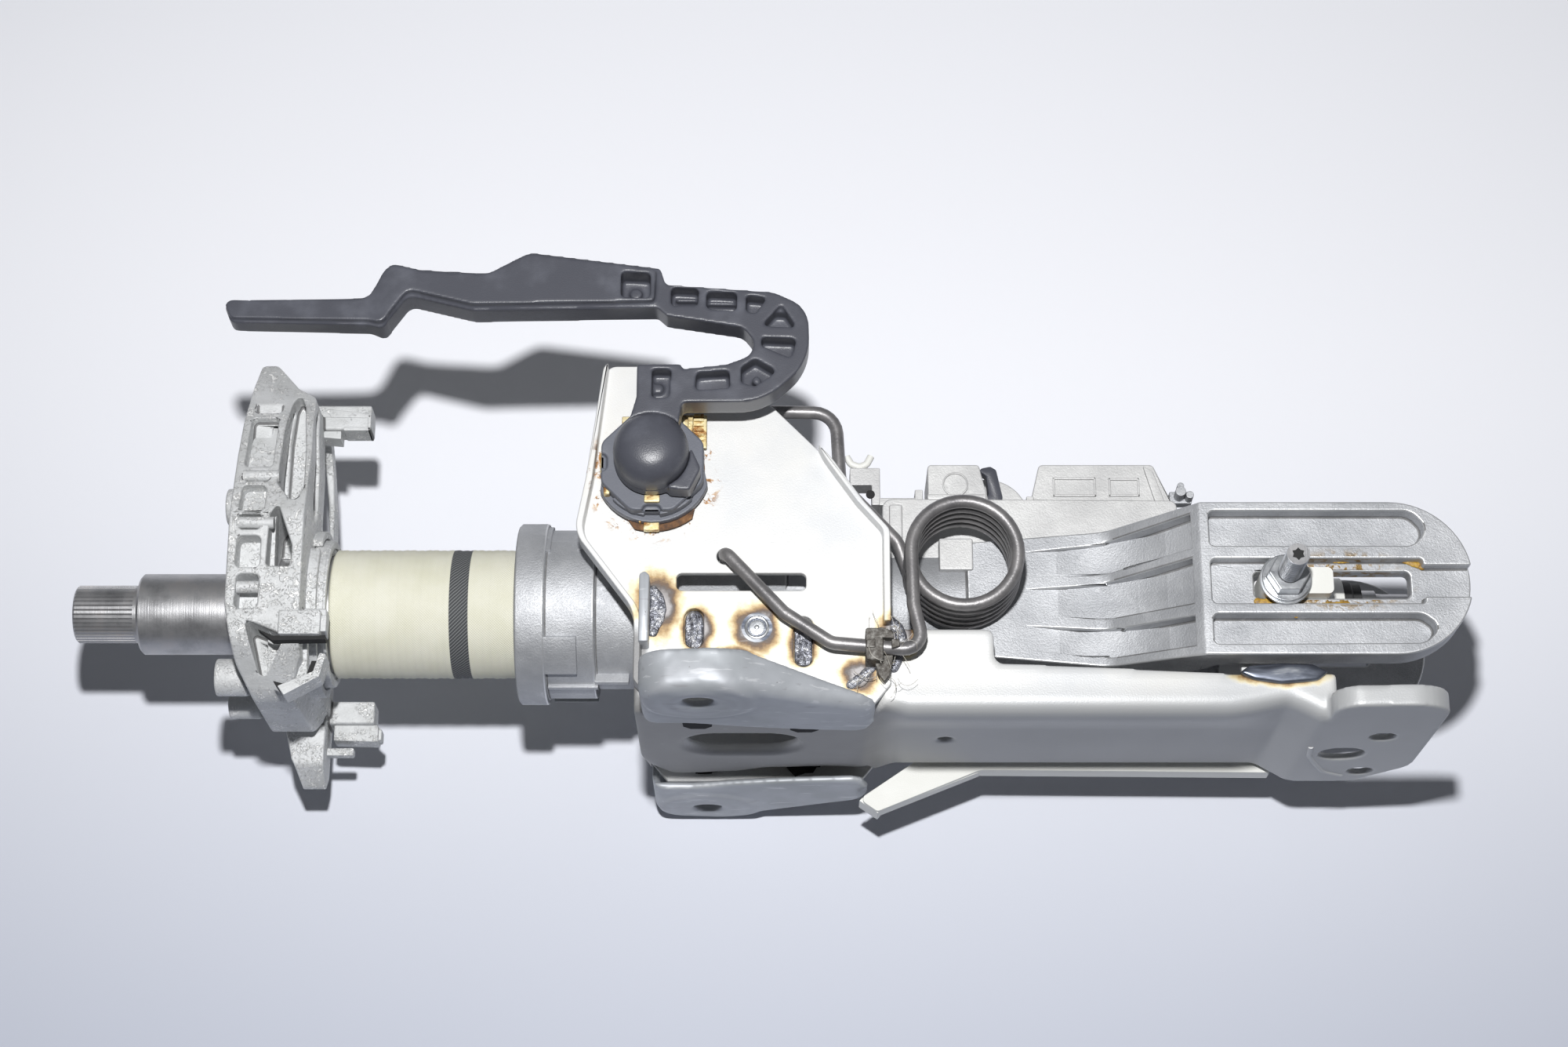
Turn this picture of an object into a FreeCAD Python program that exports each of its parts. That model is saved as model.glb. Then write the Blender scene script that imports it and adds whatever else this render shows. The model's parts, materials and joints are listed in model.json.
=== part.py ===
"""Adjustable steering column: bracket, sliding column, spindle, clamp lever and balance spring.

The frame lies on the spindle axis. +X runs from the wheel end to the lower end, +Y points from
the mounting face of the bracket towards the column, and +Z leaves the side that carries the lever.
"""
import FreeCAD
import Part
import Sketcher
import math
import os

V = FreeCAD.Vector

SIZES = {
    # Pressed steel bracket
    "SheetThickness": 3.0,
    "RailHalfWidth": 45.0,
    "RailDepth": 47.0,
    "FrontDrop": 4.0,
    "WingDrop": 7.0,
    "BracketFront": 213.0,
    "BracketStep": 303.0,
    "FlangeStep": 343.0,
    "RailEnd": 466.0,
    "FlangeFrontTop": 9.0,
    "FlangeMidTop": 20.0,
    "FlangeRearTop": 37.0,
    "FlangeRise": 4.0,
    "BendRadius": 6.0,
    "WingLength": 39.0,
    "WingReach": 62.0,
    "WingRimHeight": 8.0,
    "WingHoleRadius": 4.75,
    "WingHoleInset": 18.8,
    "WingHoleSpread": 23.5,
    "WingHoleShift": 3.5,
    "PlateLip": 6.0,
    "StripThickness": 2.2,
    "PlateTop": 81.5,
    "EarDrop": 56.0,
    "EarRim": 15.0,
    "EarReach": 90.0,
    "EarHoleRadius": 5.4,
    "EarHoleX": 237.0,
    "EarHoleSpread": 73.0,
    # Pivot
    "PivotX": 448.7,
    "PivotDrop": 3.5,
    "StudRadius": 4.0,
    "StudHead": 7.0,
    "StudHeadThickness": 4.0,
    "StudTip": 79.0,
    "NutFlats": 13.0,
    "NutHeight": 8.0,
    "NutFlangeRadius": 8.95,
    "NutFlangeThickness": 1.8,
    "WasherRadius": 9.5,
    "WasherThickness": 1.2,
    "BlockLength": 26.0,
    "BlockHeight": 10.0,
    "CradleHalfWidth": 33.0,
    "CradleLength": 30.0,
    # Column casting
    "CollarStart": 167.5,
    "CollarStep": 178.6,
    "CollarEnd": 197.0,
    "CollarRadius": 34.2,
    "CollarStepRadius": 31.8,
    "TubeRadius": 28.2,
    "TubeNeckStart": 292.0,
    "TubeNeckRadius": 24.8,
    "TubeEnd": 404.0,
    "CheekStart": 203.0,
    "CheekEnd": 268.0,
    "CheekTop": 50.0,
    "CheekThickness": 5.7,
    "SlideGap": 0.3,
    "ArmTop": 50.0,
    "ArmThickness": 12.0,
    "ArmUpperEdge": 27.0,
    "ArmLowerEdge": 31.5,
    "ArmLeft": 335.0,
    "BlockTop": 20.0,
    "BlockBottom": 24.0,
    "ArmReach": 68.3,
    "RampStart": 386.0,
    "RampEnd": 419.0,
    "RampLow": 25.0,
    "PocketDepth": 7.0,
    "SlotInner": 10.7,
    "SlotOuter": 46.3,
    "ReachOut": 28.0,
    # Jacket, sleeve and spindle
    "JacketRadius": 22.0,
    "JacketWall": 2.0,
    "JacketStart": 64.0,
    "JacketEnd": 368.0,
    "SleeveWall": 2.5,
    "SleeveInsert": 16.0,
    "SplineLength": 24.6,
    "SplineRadius": 10.9,
    "SplineCount": 40.0,
    "SplineDepth": 0.8,
    "SpindleRadius": 15.3,
    "SpindleStep": 100.0,
    "SpindleTubeRadius": 13.0,
    "SpindleTubeEnd": 300.0,
    "ShaftRadius": 9.0,
    "ShaftEnd": 503.5,
    "ShaftTipRadius": 7.6,
    "BoltCoreRadius": 5.0,
    "BoltDepth": 28.0,
    "BearingWidth": 12.0,
    "ShaftCollarX": 462.0,
    "ShaftSealX": 477.0,
    "LowerBearingShoulder": 15.0,
    # Steering lock
    "LockRingRadius": 15.0,
    "LockRingX": 377.0,
    "LockRingWidth": 10.0,
    "LockSlots": 8.0,
    "LockBoltSide": 7.0,
    "LockStart": 304.0,
    "LockLength": 112.0,
    "BarrelX": 345.0,
    "BarrelY": 40.0,
    "BarrelRadius": 13.0,
    "BarrelReach": 84.0,
    "BarrelStart": 14.0,
    "LockGuideTop": 45.0,
    "LockBoltLength": 20.0,
    "RotorRadius": 9.0,
    # Clamp
    "ClampX": 219.0,
    "ClampY": 39.0,
    "ClampBoltRadius": 4.0,
    "TiltTravel": 2.0,
    "ClampStroke": 1.2,
    "DiscHalf": 17.0,
    "DiscThickness": 4.0,
    "RingThickness": 6.0,
    "PlateThickness": 3.0,
    "ClampHeadHeight": 5.5,
    "ClampNutHeight": 6.0,
    "RingRadius": 18.7,
    "DomeRadius": 13.7,
    "DomeRim": 72.0,
    "DomeTop": 80.0,
    "HubTop": 66.0,
    "LeverBase": 60.5,
    "LeverTop": 72.0,
    "LeverArmRise": 2.5,
    "LeverReach": 158.0,
    # Switch carrier
    "CarrierStart": 62.0,
    "CarrierHeight": 100.0,
    # Balance spring
    "WireRadius": 2.45,
    "CoilX": 332.6,
    "CoilY": 6.5,
    "CoilRadius": 19.5,
    "CoilTurns": 5.0,
    "CoilPitch": 5.15,
    "CoilTopZ": 54.2,
    "LowerLegZ": 30.0,
    "Clearance": 0.3,
    "FitClearance": 0.05,
}

# Counts for the spring, whose wire is swept with flat sides
WIRE_SIDES = 10
COIL_STEPS = 24
# Height at which the spring's upper leg passes through its clip
SPRING_HOOK_Y = -29.8

doc = FreeCAD.newDocument("SteeringColumn")
sheet = doc.addObject("Spreadsheet::Sheet", "Sizes")
for row, (alias, value) in enumerate(SIZES.items(), start=1):
    sheet.set("A%d" % row, str(value))
    sheet.setAlias("A%d" % row, alias)
doc.recompute()


class SizeTable:
    """Reads a size from the sheet by its alias."""

    def __getattr__(self, alias):
        return float(getattr(sheet, alias))


size = SizeTable()
nodes = []


def register(obj, label):
    """Gives a finished sub-part its own name and keeps it for export."""
    obj.Label = label
    nodes.append(obj)
    return obj


def new_body(label):
    body = doc.addObject("PartDesign::Body", label)
    return register(body, label)


def origin_plane(body, role):
    return [item for item in body.Origin.OriginFeatures if item.Role == role][0]


def new_sketch(body, role, offset="0"):
    """A sketch on one of the body's own planes, moved along the plane's normal by an expression."""
    sketch = body.newObject("Sketcher::SketchObject", body.Label + "_sketch")
    sketch.AttachmentSupport = [(origin_plane(body, role), "")]
    sketch.MapMode = "FlatFace"
    sketch.setExpression("AttachmentOffset.Base.z", offset)
    return sketch


def rounded_edges(corners):
    """Lines and tangent arcs through corners given as (x, y) or (x, y, radius)."""
    points = [V(c[0], c[1], 0) for c in corners]
    radii = [c[2] if len(c) > 2 else 0 for c in corners]
    count = len(points)
    starts = []
    ends = []
    arcs = []
    for i in range(count):
        here = points[i]
        back = (points[i - 1] - here).normalize()
        ahead = (points[(i + 1) % count] - here).normalize()
        if radii[i] <= 0:
            starts.append(here)
            ends.append(here)
            arcs.append(None)
            continue
        half = back.getAngle(ahead) / 2
        room = min((points[i - 1] - here).Length, (points[(i + 1) % count] - here).Length) / 2
        reach = min(radii[i] / math.tan(half), room)
        radius = reach * math.tan(half)
        centre = here + (back + ahead).normalize() * (radius / math.sin(half))
        middle = centre + (here - centre).normalize() * radius
        starts.append(here + back * reach)
        ends.append(here + ahead * reach)
        arcs.append(Part.Arc(starts[i], middle, ends[i]))
    edges = []
    for i in range(count):
        if arcs[i]:
            edges.append(arcs[i])
        following = starts[(i + 1) % count]
        if (following - ends[i]).Length > 1e-6:
            edges.append(Part.LineSegment(ends[i], following))
    return edges


def add_outline(sketch, corners):
    for edge in rounded_edges(corners):
        sketch.addGeometry(edge, False)
    return sketch


def add_circle(sketch, x, y, radius):
    """A circle whose radius follows an expression of the sheet."""
    index = sketch.addGeometry(Part.Circle(V(x, y, 0), V(0, 0, 1), 1.0), False)
    place = sketch.addConstraint(Sketcher.Constraint("Radius", index, 1.0))
    sketch.setExpression("Constraints[%d]" % place, radius)
    return sketch


def scaled(points, unit, x, y):
    """An outline given in units round a place, with each corner's radius in the same units."""
    return [(x + point[0] * unit, y + point[1] * unit) + tuple(r * unit for r in point[2:])
            for point in points]


def slot_corners(x, y, half_length, half_width, angle=0.0):
    """A slot with round ends, centred on (x, y) and turned by an angle in degrees."""
    turn = math.radians(angle)
    along = V(math.cos(turn), math.sin(turn), 0)
    across = V(-math.sin(turn), math.cos(turn), 0)
    tip = half_length + half_width
    corners = []
    for side_x, side_y in ((-1, -1), (1, -1), (1, 1), (-1, 1)):
        point = V(x, y, 0) + along * (side_x * tip) + across * (side_y * half_width)
        corners.append((point.x, point.y, half_width))
    return corners


def pad(body, sketch, length):
    feature = body.newObject("PartDesign::Pad", body.Label + "_pad")
    feature.Profile = sketch
    feature.setExpression("Length", length)
    doc.recompute()
    return feature


def pocket(body, sketch, length, upward=False):
    """Cuts along the sketch plane's normal, backwards unless upward, and proves that it cut."""
    before = body.Shape.Volume
    feature = body.newObject("PartDesign::Pocket", body.Label + "_pocket")
    feature.Profile = sketch
    feature.Reversed = upward
    feature.setExpression("Length", length)
    doc.recompute()
    if not body.Shape.Volume < before - 1e-3:
        raise RuntimeError("A cut in %s removed nothing" % body.Label)
    return feature


def revolve(body, sketch, kind="PartDesign::Revolution"):
    """Turns a sketch once about its own horizontal axis."""
    feature = body.newObject(kind, body.Label + "_turned")
    feature.Profile = sketch
    feature.ReferenceAxis = (sketch, ["H_Axis"])
    feature.Angle = 360
    doc.recompute()
    return feature


def turned_body(label, steps, bore=None):
    """A piece turned about the spindle axis: (x, radius) steps outside, and a bore profile."""
    body = new_body(label)
    add_outline(new_sketch(body, "XY_Plane"), ring_profile(steps, bore))
    revolve(body, body.Group[-1])
    return body


def ring_profile(steps, bore):
    inner = bore if bore else [(steps[0][0], 0.0), (steps[-1][0], 0.0)]
    return list(steps) + list(reversed(inner))


def fillet(body, feature, radius, wanted):
    """Rounds the edges that the test picks, by a radius given as an expression."""
    names = []
    for number, edge in enumerate(feature.Shape.Edges, start=1):
        if wanted(edge):
            names.append("Edge%d" % number)
    rounding = body.newObject("PartDesign::Fillet", body.Label + "_fillet")
    rounding.Base = (feature, names)
    rounding.setExpression("Radius", radius)
    doc.recompute()
    return rounding


def chamfer(body, feature, width, wanted):
    """Breaks the edges that the test picks, by a width given as an expression."""
    names = ["Edge%d" % number for number, edge in enumerate(feature.Shape.Edges, start=1)
             if wanted(edge)]
    broken = body.newObject("PartDesign::Chamfer", body.Label + "_chamfer")
    broken.Base = (feature, names)
    broken.setExpression("Size", width)
    doc.recompute()
    return broken


def mirrored(body, features):
    """Repeats features on the far side of the body's XY plane."""
    mirror = body.newObject("PartDesign::Mirrored", body.Label + "_mirror")
    mirror.Originals = features
    mirror.MirrorPlane = (origin_plane(body, "XY_Plane"), [""])
    body.Tip = mirror
    doc.recompute()
    return mirror


def cylinder(name, radius, height, base, direction=V(0, 0, 1)):
    """A Part cylinder from a base point along a direction, sized by expressions."""
    solid = doc.addObject("Part::Cylinder", name)
    solid.setExpression("Radius", radius)
    solid.setExpression("Height", height)
    solid.Placement = FreeCAD.Placement(base, FreeCAD.Rotation(V(0, 0, 1), direction))
    return solid


def prism(name, flats, height, base):
    """A hexagonal prism along Z, sized across its flats."""
    solid = doc.addObject("Part::Prism", name)
    solid.Polygon = 6
    solid.setExpression("Circumradius", "(%s) / sqrt(3)" % flats)
    solid.setExpression("Height", height)
    solid.Placement = FreeCAD.Placement(base, FreeCAD.Rotation())
    return solid


def fuse(label, shapes):
    union = doc.addObject("Part::MultiFuse", label)
    union.Shapes = shapes
    union.Refine = True
    return union


def cut(label, base, tool):
    result = doc.addObject("Part::Cut", label)
    result.Base = base
    result.Tool = tool
    return result


# Heights shared by the plates, the casting between them and the clamp outside them
plate_inner = size.RailHalfWidth
plate_outer = plate_inner + size.SheetThickness
lip_top = plate_outer + size.PlateLip
web_outer = -size.RailDepth
web_inner = web_outer + size.SheetThickness
front_outer = web_outer - size.FrontDrop
wing_outer = web_outer - size.WingDrop
wing_end = size.RailEnd + size.WingLength
pivot_y = -size.PivotDrop
arm_end = size.PivotX + size.ArmReach
jacket_inner = size.JacketRadius - size.JacketWall
sleeve_outer = size.JacketRadius + size.SleeveWall
sleeve_start = size.CarrierStart + 0.36 * size.CarrierHeight
bearing_start = size.LockRingX + size.LockRingWidth + 1
bearing_end = bearing_start + size.BearingWidth
clamp_rise = size.ClampY - pivot_y
clamp_arm = size.PivotX - size.ClampX
tilt_angle = math.degrees(math.atan2(clamp_arm, clamp_rise))
tilt_half = math.hypot(clamp_arm, clamp_rise) * math.sin(math.radians(size.TiltTravel))


def rail_channel():
    """The pressed channel: a U along the column with a front plate, an S-bend and a rear wing."""
    body = new_body("rail_channel")
    bend = size.BendRadius
    step = size.BracketStep
    outer = new_sketch(body, "XY_Plane", "-Sizes.RailHalfWidth")
    add_outline(outer, [
        (size.BracketFront, front_outer),
        (step - bend, front_outer, bend),
        (step + bend, web_outer, bend),
        (size.RailEnd - 3 * bend, web_outer, bend),
        (size.RailEnd - bend, wing_outer, bend),
        (size.RailEnd, wing_outer),
        (size.RailEnd, -size.FlangeRearTop),
        (size.FlangeStep, -size.FlangeRearTop + size.FlangeRise, 3),
        (size.FlangeStep, -size.FlangeMidTop, 3),
        (step, -size.FlangeMidTop, 5),
        (step - 2 * bend, -size.FlangeFrontTop, 5),
        (size.BracketFront, -size.FlangeFrontTop, 4),
    ])
    slab = pad(body, outer, "2 * Sizes.RailHalfWidth")

    def outside_corner(edge):
        box = edge.BoundBox
        flat = box.ZLength < 1e-6 and abs(abs(box.ZMin) - size.RailHalfWidth) < 1e-6
        return flat and box.YMax < web_outer + 1e-3

    fillet(body, slab, "Sizes.BendRadius", outside_corner)
    thick = size.SheetThickness
    inner = new_sketch(body, "XY_Plane", "Sizes.RailHalfWidth - Sizes.SheetThickness")
    add_outline(inner, [
        (size.BracketFront - 1, front_outer + thick),
        (step - bend, front_outer + thick, bend),
        (step + bend, web_inner, bend),
        (size.RailEnd - 3 * bend, web_inner, bend),
        (size.RailEnd - bend, wing_outer + thick, bend),
        (size.RailEnd + 1, wing_outer + thick),
        (size.RailEnd + 1, 1),
        (size.BracketFront - 1, 1),
    ])
    pocket(body, inner, "2 * (Sizes.RailHalfWidth - Sizes.SheetThickness)")

    wing = new_sketch(body, "XZ_Plane", "Sizes.RailDepth + Sizes.WingDrop - Sizes.WingRimHeight")
    add_outline(wing, [
        (size.RailEnd - thick, -size.RailHalfWidth + 3),
        (wing_end - 20, -size.RailHalfWidth + 3, 10),
        (wing_end - 1, -20, 14),
        (wing_end, size.WingReach, 14),
        (size.RailEnd - thick, size.WingReach - 2, 10),
    ])
    wing_pad = pad(body, wing, "Sizes.WingRimHeight")
    tray = new_sketch(body, "XZ_Plane", "Sizes.RailDepth + Sizes.WingDrop - Sizes.SheetThickness")
    add_outline(tray, [
        (size.RailEnd, -size.RailHalfWidth - 1),
        (wing_end + 5, -size.RailHalfWidth - 1),
        (wing_end + 5, 30),
        (wing_end - 10, 30, 6),
        (wing_end - 10, size.WingReach - thick, 8),
        (size.RailEnd, size.WingReach - thick - 2, 8),
    ])
    pocket(body, tray, "Sizes.WingRimHeight")

    holes = new_sketch(body, "XZ_Plane", "Sizes.RailDepth + Sizes.WingDrop + 1")
    for spread in (size.WingHoleSpread, -size.WingHoleSpread):
        add_circle(holes, wing_end - size.WingHoleInset, spread - size.WingHoleShift,
                   "Sizes.WingHoleRadius")
    add_outline(holes, slot_corners(size.RailEnd + 9, -3, 0.5, 8))
    pocket(body, holes, "Sizes.SheetThickness + 2")
    front = new_sketch(body, "XZ_Plane", "Sizes.RailDepth + Sizes.FrontDrop + 1")
    add_outline(front, slot_corners(251.5, 0, 8.5, 12))
    add_circle(front, 327.5, -8, "Sizes.StudRadius - 1.2")
    pocket(body, front, "Sizes.FrontDrop + Sizes.SheetThickness + 2")
    return wing_pad


def plate_outline(inset):
    """The side plate's edge, with its two long sides moved inwards by the inset."""
    top = size.PlateTop
    low = size.SheetThickness - size.EarDrop if inset == 0 else front_outer - 10
    high = top if inset == 0 else top + 10
    right = size.BracketStep + 2.5
    tail = [(right, -42, 3), (right - 9, low)]
    head = [(size.BracketFront + 9, low), (size.BracketFront, -42, 3)]
    if inset > 0:
        tail = [(right - inset, -20), (right + 1, -20), (right + 1, low)]
        head = [(size.BracketFront + inset, low)]
    return head + [
        (size.BracketFront + inset, -16, 16),
        (190.7 + inset, 14, 12),
        (194.5 + inset, 35, 60),
        (200.5 + inset, high, 5 if inset == 0 else 0),
        (228, high, 8 if inset == 0 else 0),
        (240, 66 if inset == 0 else high + 4, 8 if inset == 0 else 0),
        (262 - inset, 66 if inset == 0 else high + 4, 4 if inset == 0 else 0),
        (284 - inset, 43.5, 30),
        (296 - inset, 26, 14),
        (size.BracketStep + 2.5 - inset, 15, 5),
    ] + tail


def side_plate(label, side):
    """One clamping plate of the bracket, with outward lips and the slot for tilt."""
    body = new_body(label)
    full = "Sizes.SheetThickness + Sizes.PlateLip"
    if side > 0:
        base = "Sizes.RailHalfWidth"
        lip_plane = "Sizes.RailHalfWidth + " + full
        slot_plane = "Sizes.RailHalfWidth + Sizes.SheetThickness + 1"
    else:
        base = "-Sizes.RailHalfWidth - (" + full + ")"
        lip_plane = "-Sizes.RailHalfWidth - Sizes.SheetThickness"
        slot_plane = "-Sizes.RailHalfWidth + 1"
    outer = new_sketch(body, "XY_Plane", base)
    add_outline(outer, plate_outline(0))
    pad(body, outer, full)
    inner = new_sketch(body, "XY_Plane", lip_plane)
    add_outline(inner, plate_outline(size.SheetThickness - 0.5))
    pocket(body, inner, "Sizes.PlateLip")
    slots = new_sketch(body, "XY_Plane", slot_plane)
    add_outline(slots, slot_corners(size.ClampX, size.ClampY, tilt_half + size.Clearance,
                                    size.ClampBoltRadius + size.Clearance, tilt_angle))
    add_outline(slots, [(228, -6.6, 2), (275, -6.6, 2), (275, 0, 2), (228, 0, 2)])
    add_outline(slots, slot_corners(234.5, -21, 4, 3.5, 90))
    add_outline(slots, slot_corners(274, -26, 6, 3.5, 90))
    if side > 0:
        add_circle(slots, 245.6, 6.5, "Sizes.WireRadius + 2 * Sizes.Clearance")
    pocket(body, slots, "Sizes.SheetThickness + 2")
    return body


def mount_ear(label, side):
    """A dished ear beside the channel, with a rim on three sides and a hole for a screw."""
    body = new_body(label)
    root = size.RailHalfWidth * side
    reach = size.EarReach * side
    thick = size.SheetThickness
    left = size.BracketFront + 3
    right = size.BracketStep - 3
    outer = new_sketch(body, "XZ_Plane", "Sizes.EarDrop - Sizes.EarRim")
    add_outline(outer, [
        (left, root), (left, reach - 4 * side, 12), (left + 30, reach, 30),
        (right - 18, reach - 18 * side, 30), (right, reach - 26 * side, 10), (right, root),
    ])
    block = pad(body, outer, "Sizes.EarRim")

    def rim_corner(edge):
        box = edge.BoundBox
        bottom = box.YLength < 1e-6 and abs(box.YMin + size.EarDrop) < 1e-6
        away = abs(edge.CenterOfMass.z) > size.RailHalfWidth + 1
        return bottom and away

    fillet(body, block, "Sizes.BendRadius - 1", rim_corner)
    inner = new_sketch(body, "XZ_Plane", "Sizes.EarDrop - Sizes.SheetThickness")
    add_outline(inner, [
        (left - 1, root - 2 * side), (left - 1, root + thick * side),
        (left + thick, root + thick * side), (left + thick, reach - (4 + thick) * side, 9),
        (left + 30, reach - thick * side, 27), (right - 20, reach - (18 + thick) * side, 27),
        (right - thick, reach - (26 + thick) * side, 7), (right - thick, root + thick * side),
        (right + 1, root + thick * side), (right + 1, root - 2 * side),
    ])
    pocket(body, inner, "Sizes.EarRim")
    taper = new_sketch(body, "XY_Plane", "Sizes.EarReach + 1" if side > 0 else "1")
    top = -size.EarDrop + size.EarRim
    add_outline(taper, [
        (left + 36, top + 1), (left + 40, top - 1), (right + 1, -size.EarDrop + thick + 0.5),
        (right + 1, top + 1),
    ])
    pocket(body, taper, "Sizes.EarReach + 2")
    hole = new_sketch(body, "XZ_Plane", "Sizes.EarDrop + 1")
    add_circle(hole, size.EarHoleX, size.EarHoleSpread * side, "Sizes.EarHoleRadius")
    pocket(body, hole, "Sizes.SheetThickness + 2")
    return body


def pivot_cradle():
    """The U that stands on the channel between the arms and carries the two pivot studs."""
    body = new_body("pivot_cradle")
    half = size.CradleLength / 2
    outer = new_sketch(body, "XY_Plane", "-Sizes.CradleHalfWidth")
    add_outline(outer, [
        (size.PivotX - half, web_inner), (size.PivotX + half - 8, web_inner),
        (size.PivotX + half - 3, -20, 8), (size.PivotX + 10, 11, 9), (size.PivotX - 10, 11, 9),
        (size.PivotX - half, -20, 8),
    ])
    pad(body, outer, "2 * Sizes.CradleHalfWidth")
    thick = size.SheetThickness
    inner = new_sketch(body, "YZ_Plane", "Sizes.PivotX + Sizes.CradleLength")
    edge = size.CradleHalfWidth - thick
    add_outline(inner, [
        (web_inner + thick, -edge, 3), (30, -edge), (30, edge), (web_inner + thick, edge, 3),
    ])
    pocket(body, inner, "2 * Sizes.CradleLength")
    hole = new_sketch(body, "XY_Plane", "Sizes.CradleHalfWidth + 1")
    add_circle(hole, size.PivotX, pivot_y, "Sizes.StudRadius")
    pocket(body, hole, "2 * Sizes.CradleHalfWidth + 2")
    return body


def two_sided(label, name, make):
    """Joins a piece for each side into one node of two separate solids."""
    return register(fuse(label, [make(name + "_near", 1), make(name + "_far", -1)]), label)


def stud(name, side):
    """A pivot stud: a flat head inside the cradle and a shank out through block and nut."""
    seat = size.CradleHalfWidth - size.SheetThickness
    along = V(0, 0, side)
    head = cylinder(name + "_head", "Sizes.StudHead", "Sizes.StudHeadThickness",
                    V(size.PivotX, pivot_y, side * (seat - size.StudHeadThickness)), along)
    shank = cylinder(name + "_shank", "Sizes.StudRadius",
                     "Sizes.StudTip - Sizes.CradleHalfWidth + Sizes.SheetThickness",
                     V(size.PivotX, pivot_y, side * seat), along)
    return fuse(name, [head, shank])


def nut_seat():
    """Height of the washer's outer face, on which the pivot nut sits."""
    return size.ArmTop + size.Clearance + size.WasherThickness


def pivot_nut(name, side):
    """A flange nut on the pivot stud."""
    along = V(0, 0, side)
    seat = side * nut_seat()
    flange = cylinder(name + "_flange", "Sizes.NutFlangeRadius", "Sizes.NutFlangeThickness",
                      V(size.PivotX, pivot_y, seat), along)
    low = seat if side > 0 else seat - size.NutHeight
    hexagon = prism(name + "_hexagon", "Sizes.NutFlats", "Sizes.NutHeight",
                    V(size.PivotX, pivot_y, low))
    bore = cylinder(name + "_bore", "Sizes.StudRadius", "Sizes.NutHeight + 2",
                    V(size.PivotX, pivot_y, seat - side), along)
    return cut(name, fuse(name + "_solid", [flange, hexagon]), bore)


def pivot_washer(name, side):
    along = V(0, 0, side)
    seat = side * (nut_seat() - size.WasherThickness)
    disc = cylinder(name + "_disc", "Sizes.WasherRadius", "Sizes.WasherThickness",
                    V(size.PivotX, pivot_y, seat), along)
    bore = cylinder(name + "_hole", "Sizes.StudRadius", "Sizes.WasherThickness + 2",
                    V(size.PivotX, pivot_y, seat - side), along)
    return cut(name, disc, bore)


def slider_block(label, side):
    """A plastic block that turns on the stud and slides in the slot of the arm."""
    body = new_body(label)
    seat = size.CradleHalfWidth + size.Clearance
    top = nut_seat() - size.WasherThickness
    plane = "%.3f" % (seat if side > 0 else -top)
    outline = new_sketch(body, "XY_Plane", plane)
    half = size.BlockHeight / 2
    left = size.PivotX - size.BlockLength / 3
    right = left + size.BlockLength
    low = pivot_y - half
    high = pivot_y + half
    add_outline(outline, [(left, low, 2), (right, low, 2), (right, high, 2), (left, high, 2)])
    pad(body, outline, "%.3f" % (top - seat))
    bore = new_sketch(body, "XY_Plane", "%.3f" % (top + 1 if side > 0 else -seat + 1))
    add_circle(bore, size.PivotX, pivot_y, "Sizes.StudRadius + Sizes.FitClearance")
    pocket(body, bore, "%.3f" % (top - seat + 2))
    return body


def arm_outline():
    """Plan of the lower arms: a taper from the tube to a full round end."""
    end = (size.ArmUpperEdge + size.ArmLowerEdge) / 2
    return [
        (size.ArmLeft, -size.BlockBottom), (size.RampEnd, -size.ArmLowerEdge, 12),
        (arm_end, -size.ArmLowerEdge, end), (arm_end, size.ArmUpperEdge, end),
        (size.RampEnd, size.ArmUpperEdge, 12), (size.ArmLeft, size.BlockTop),
    ]


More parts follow.
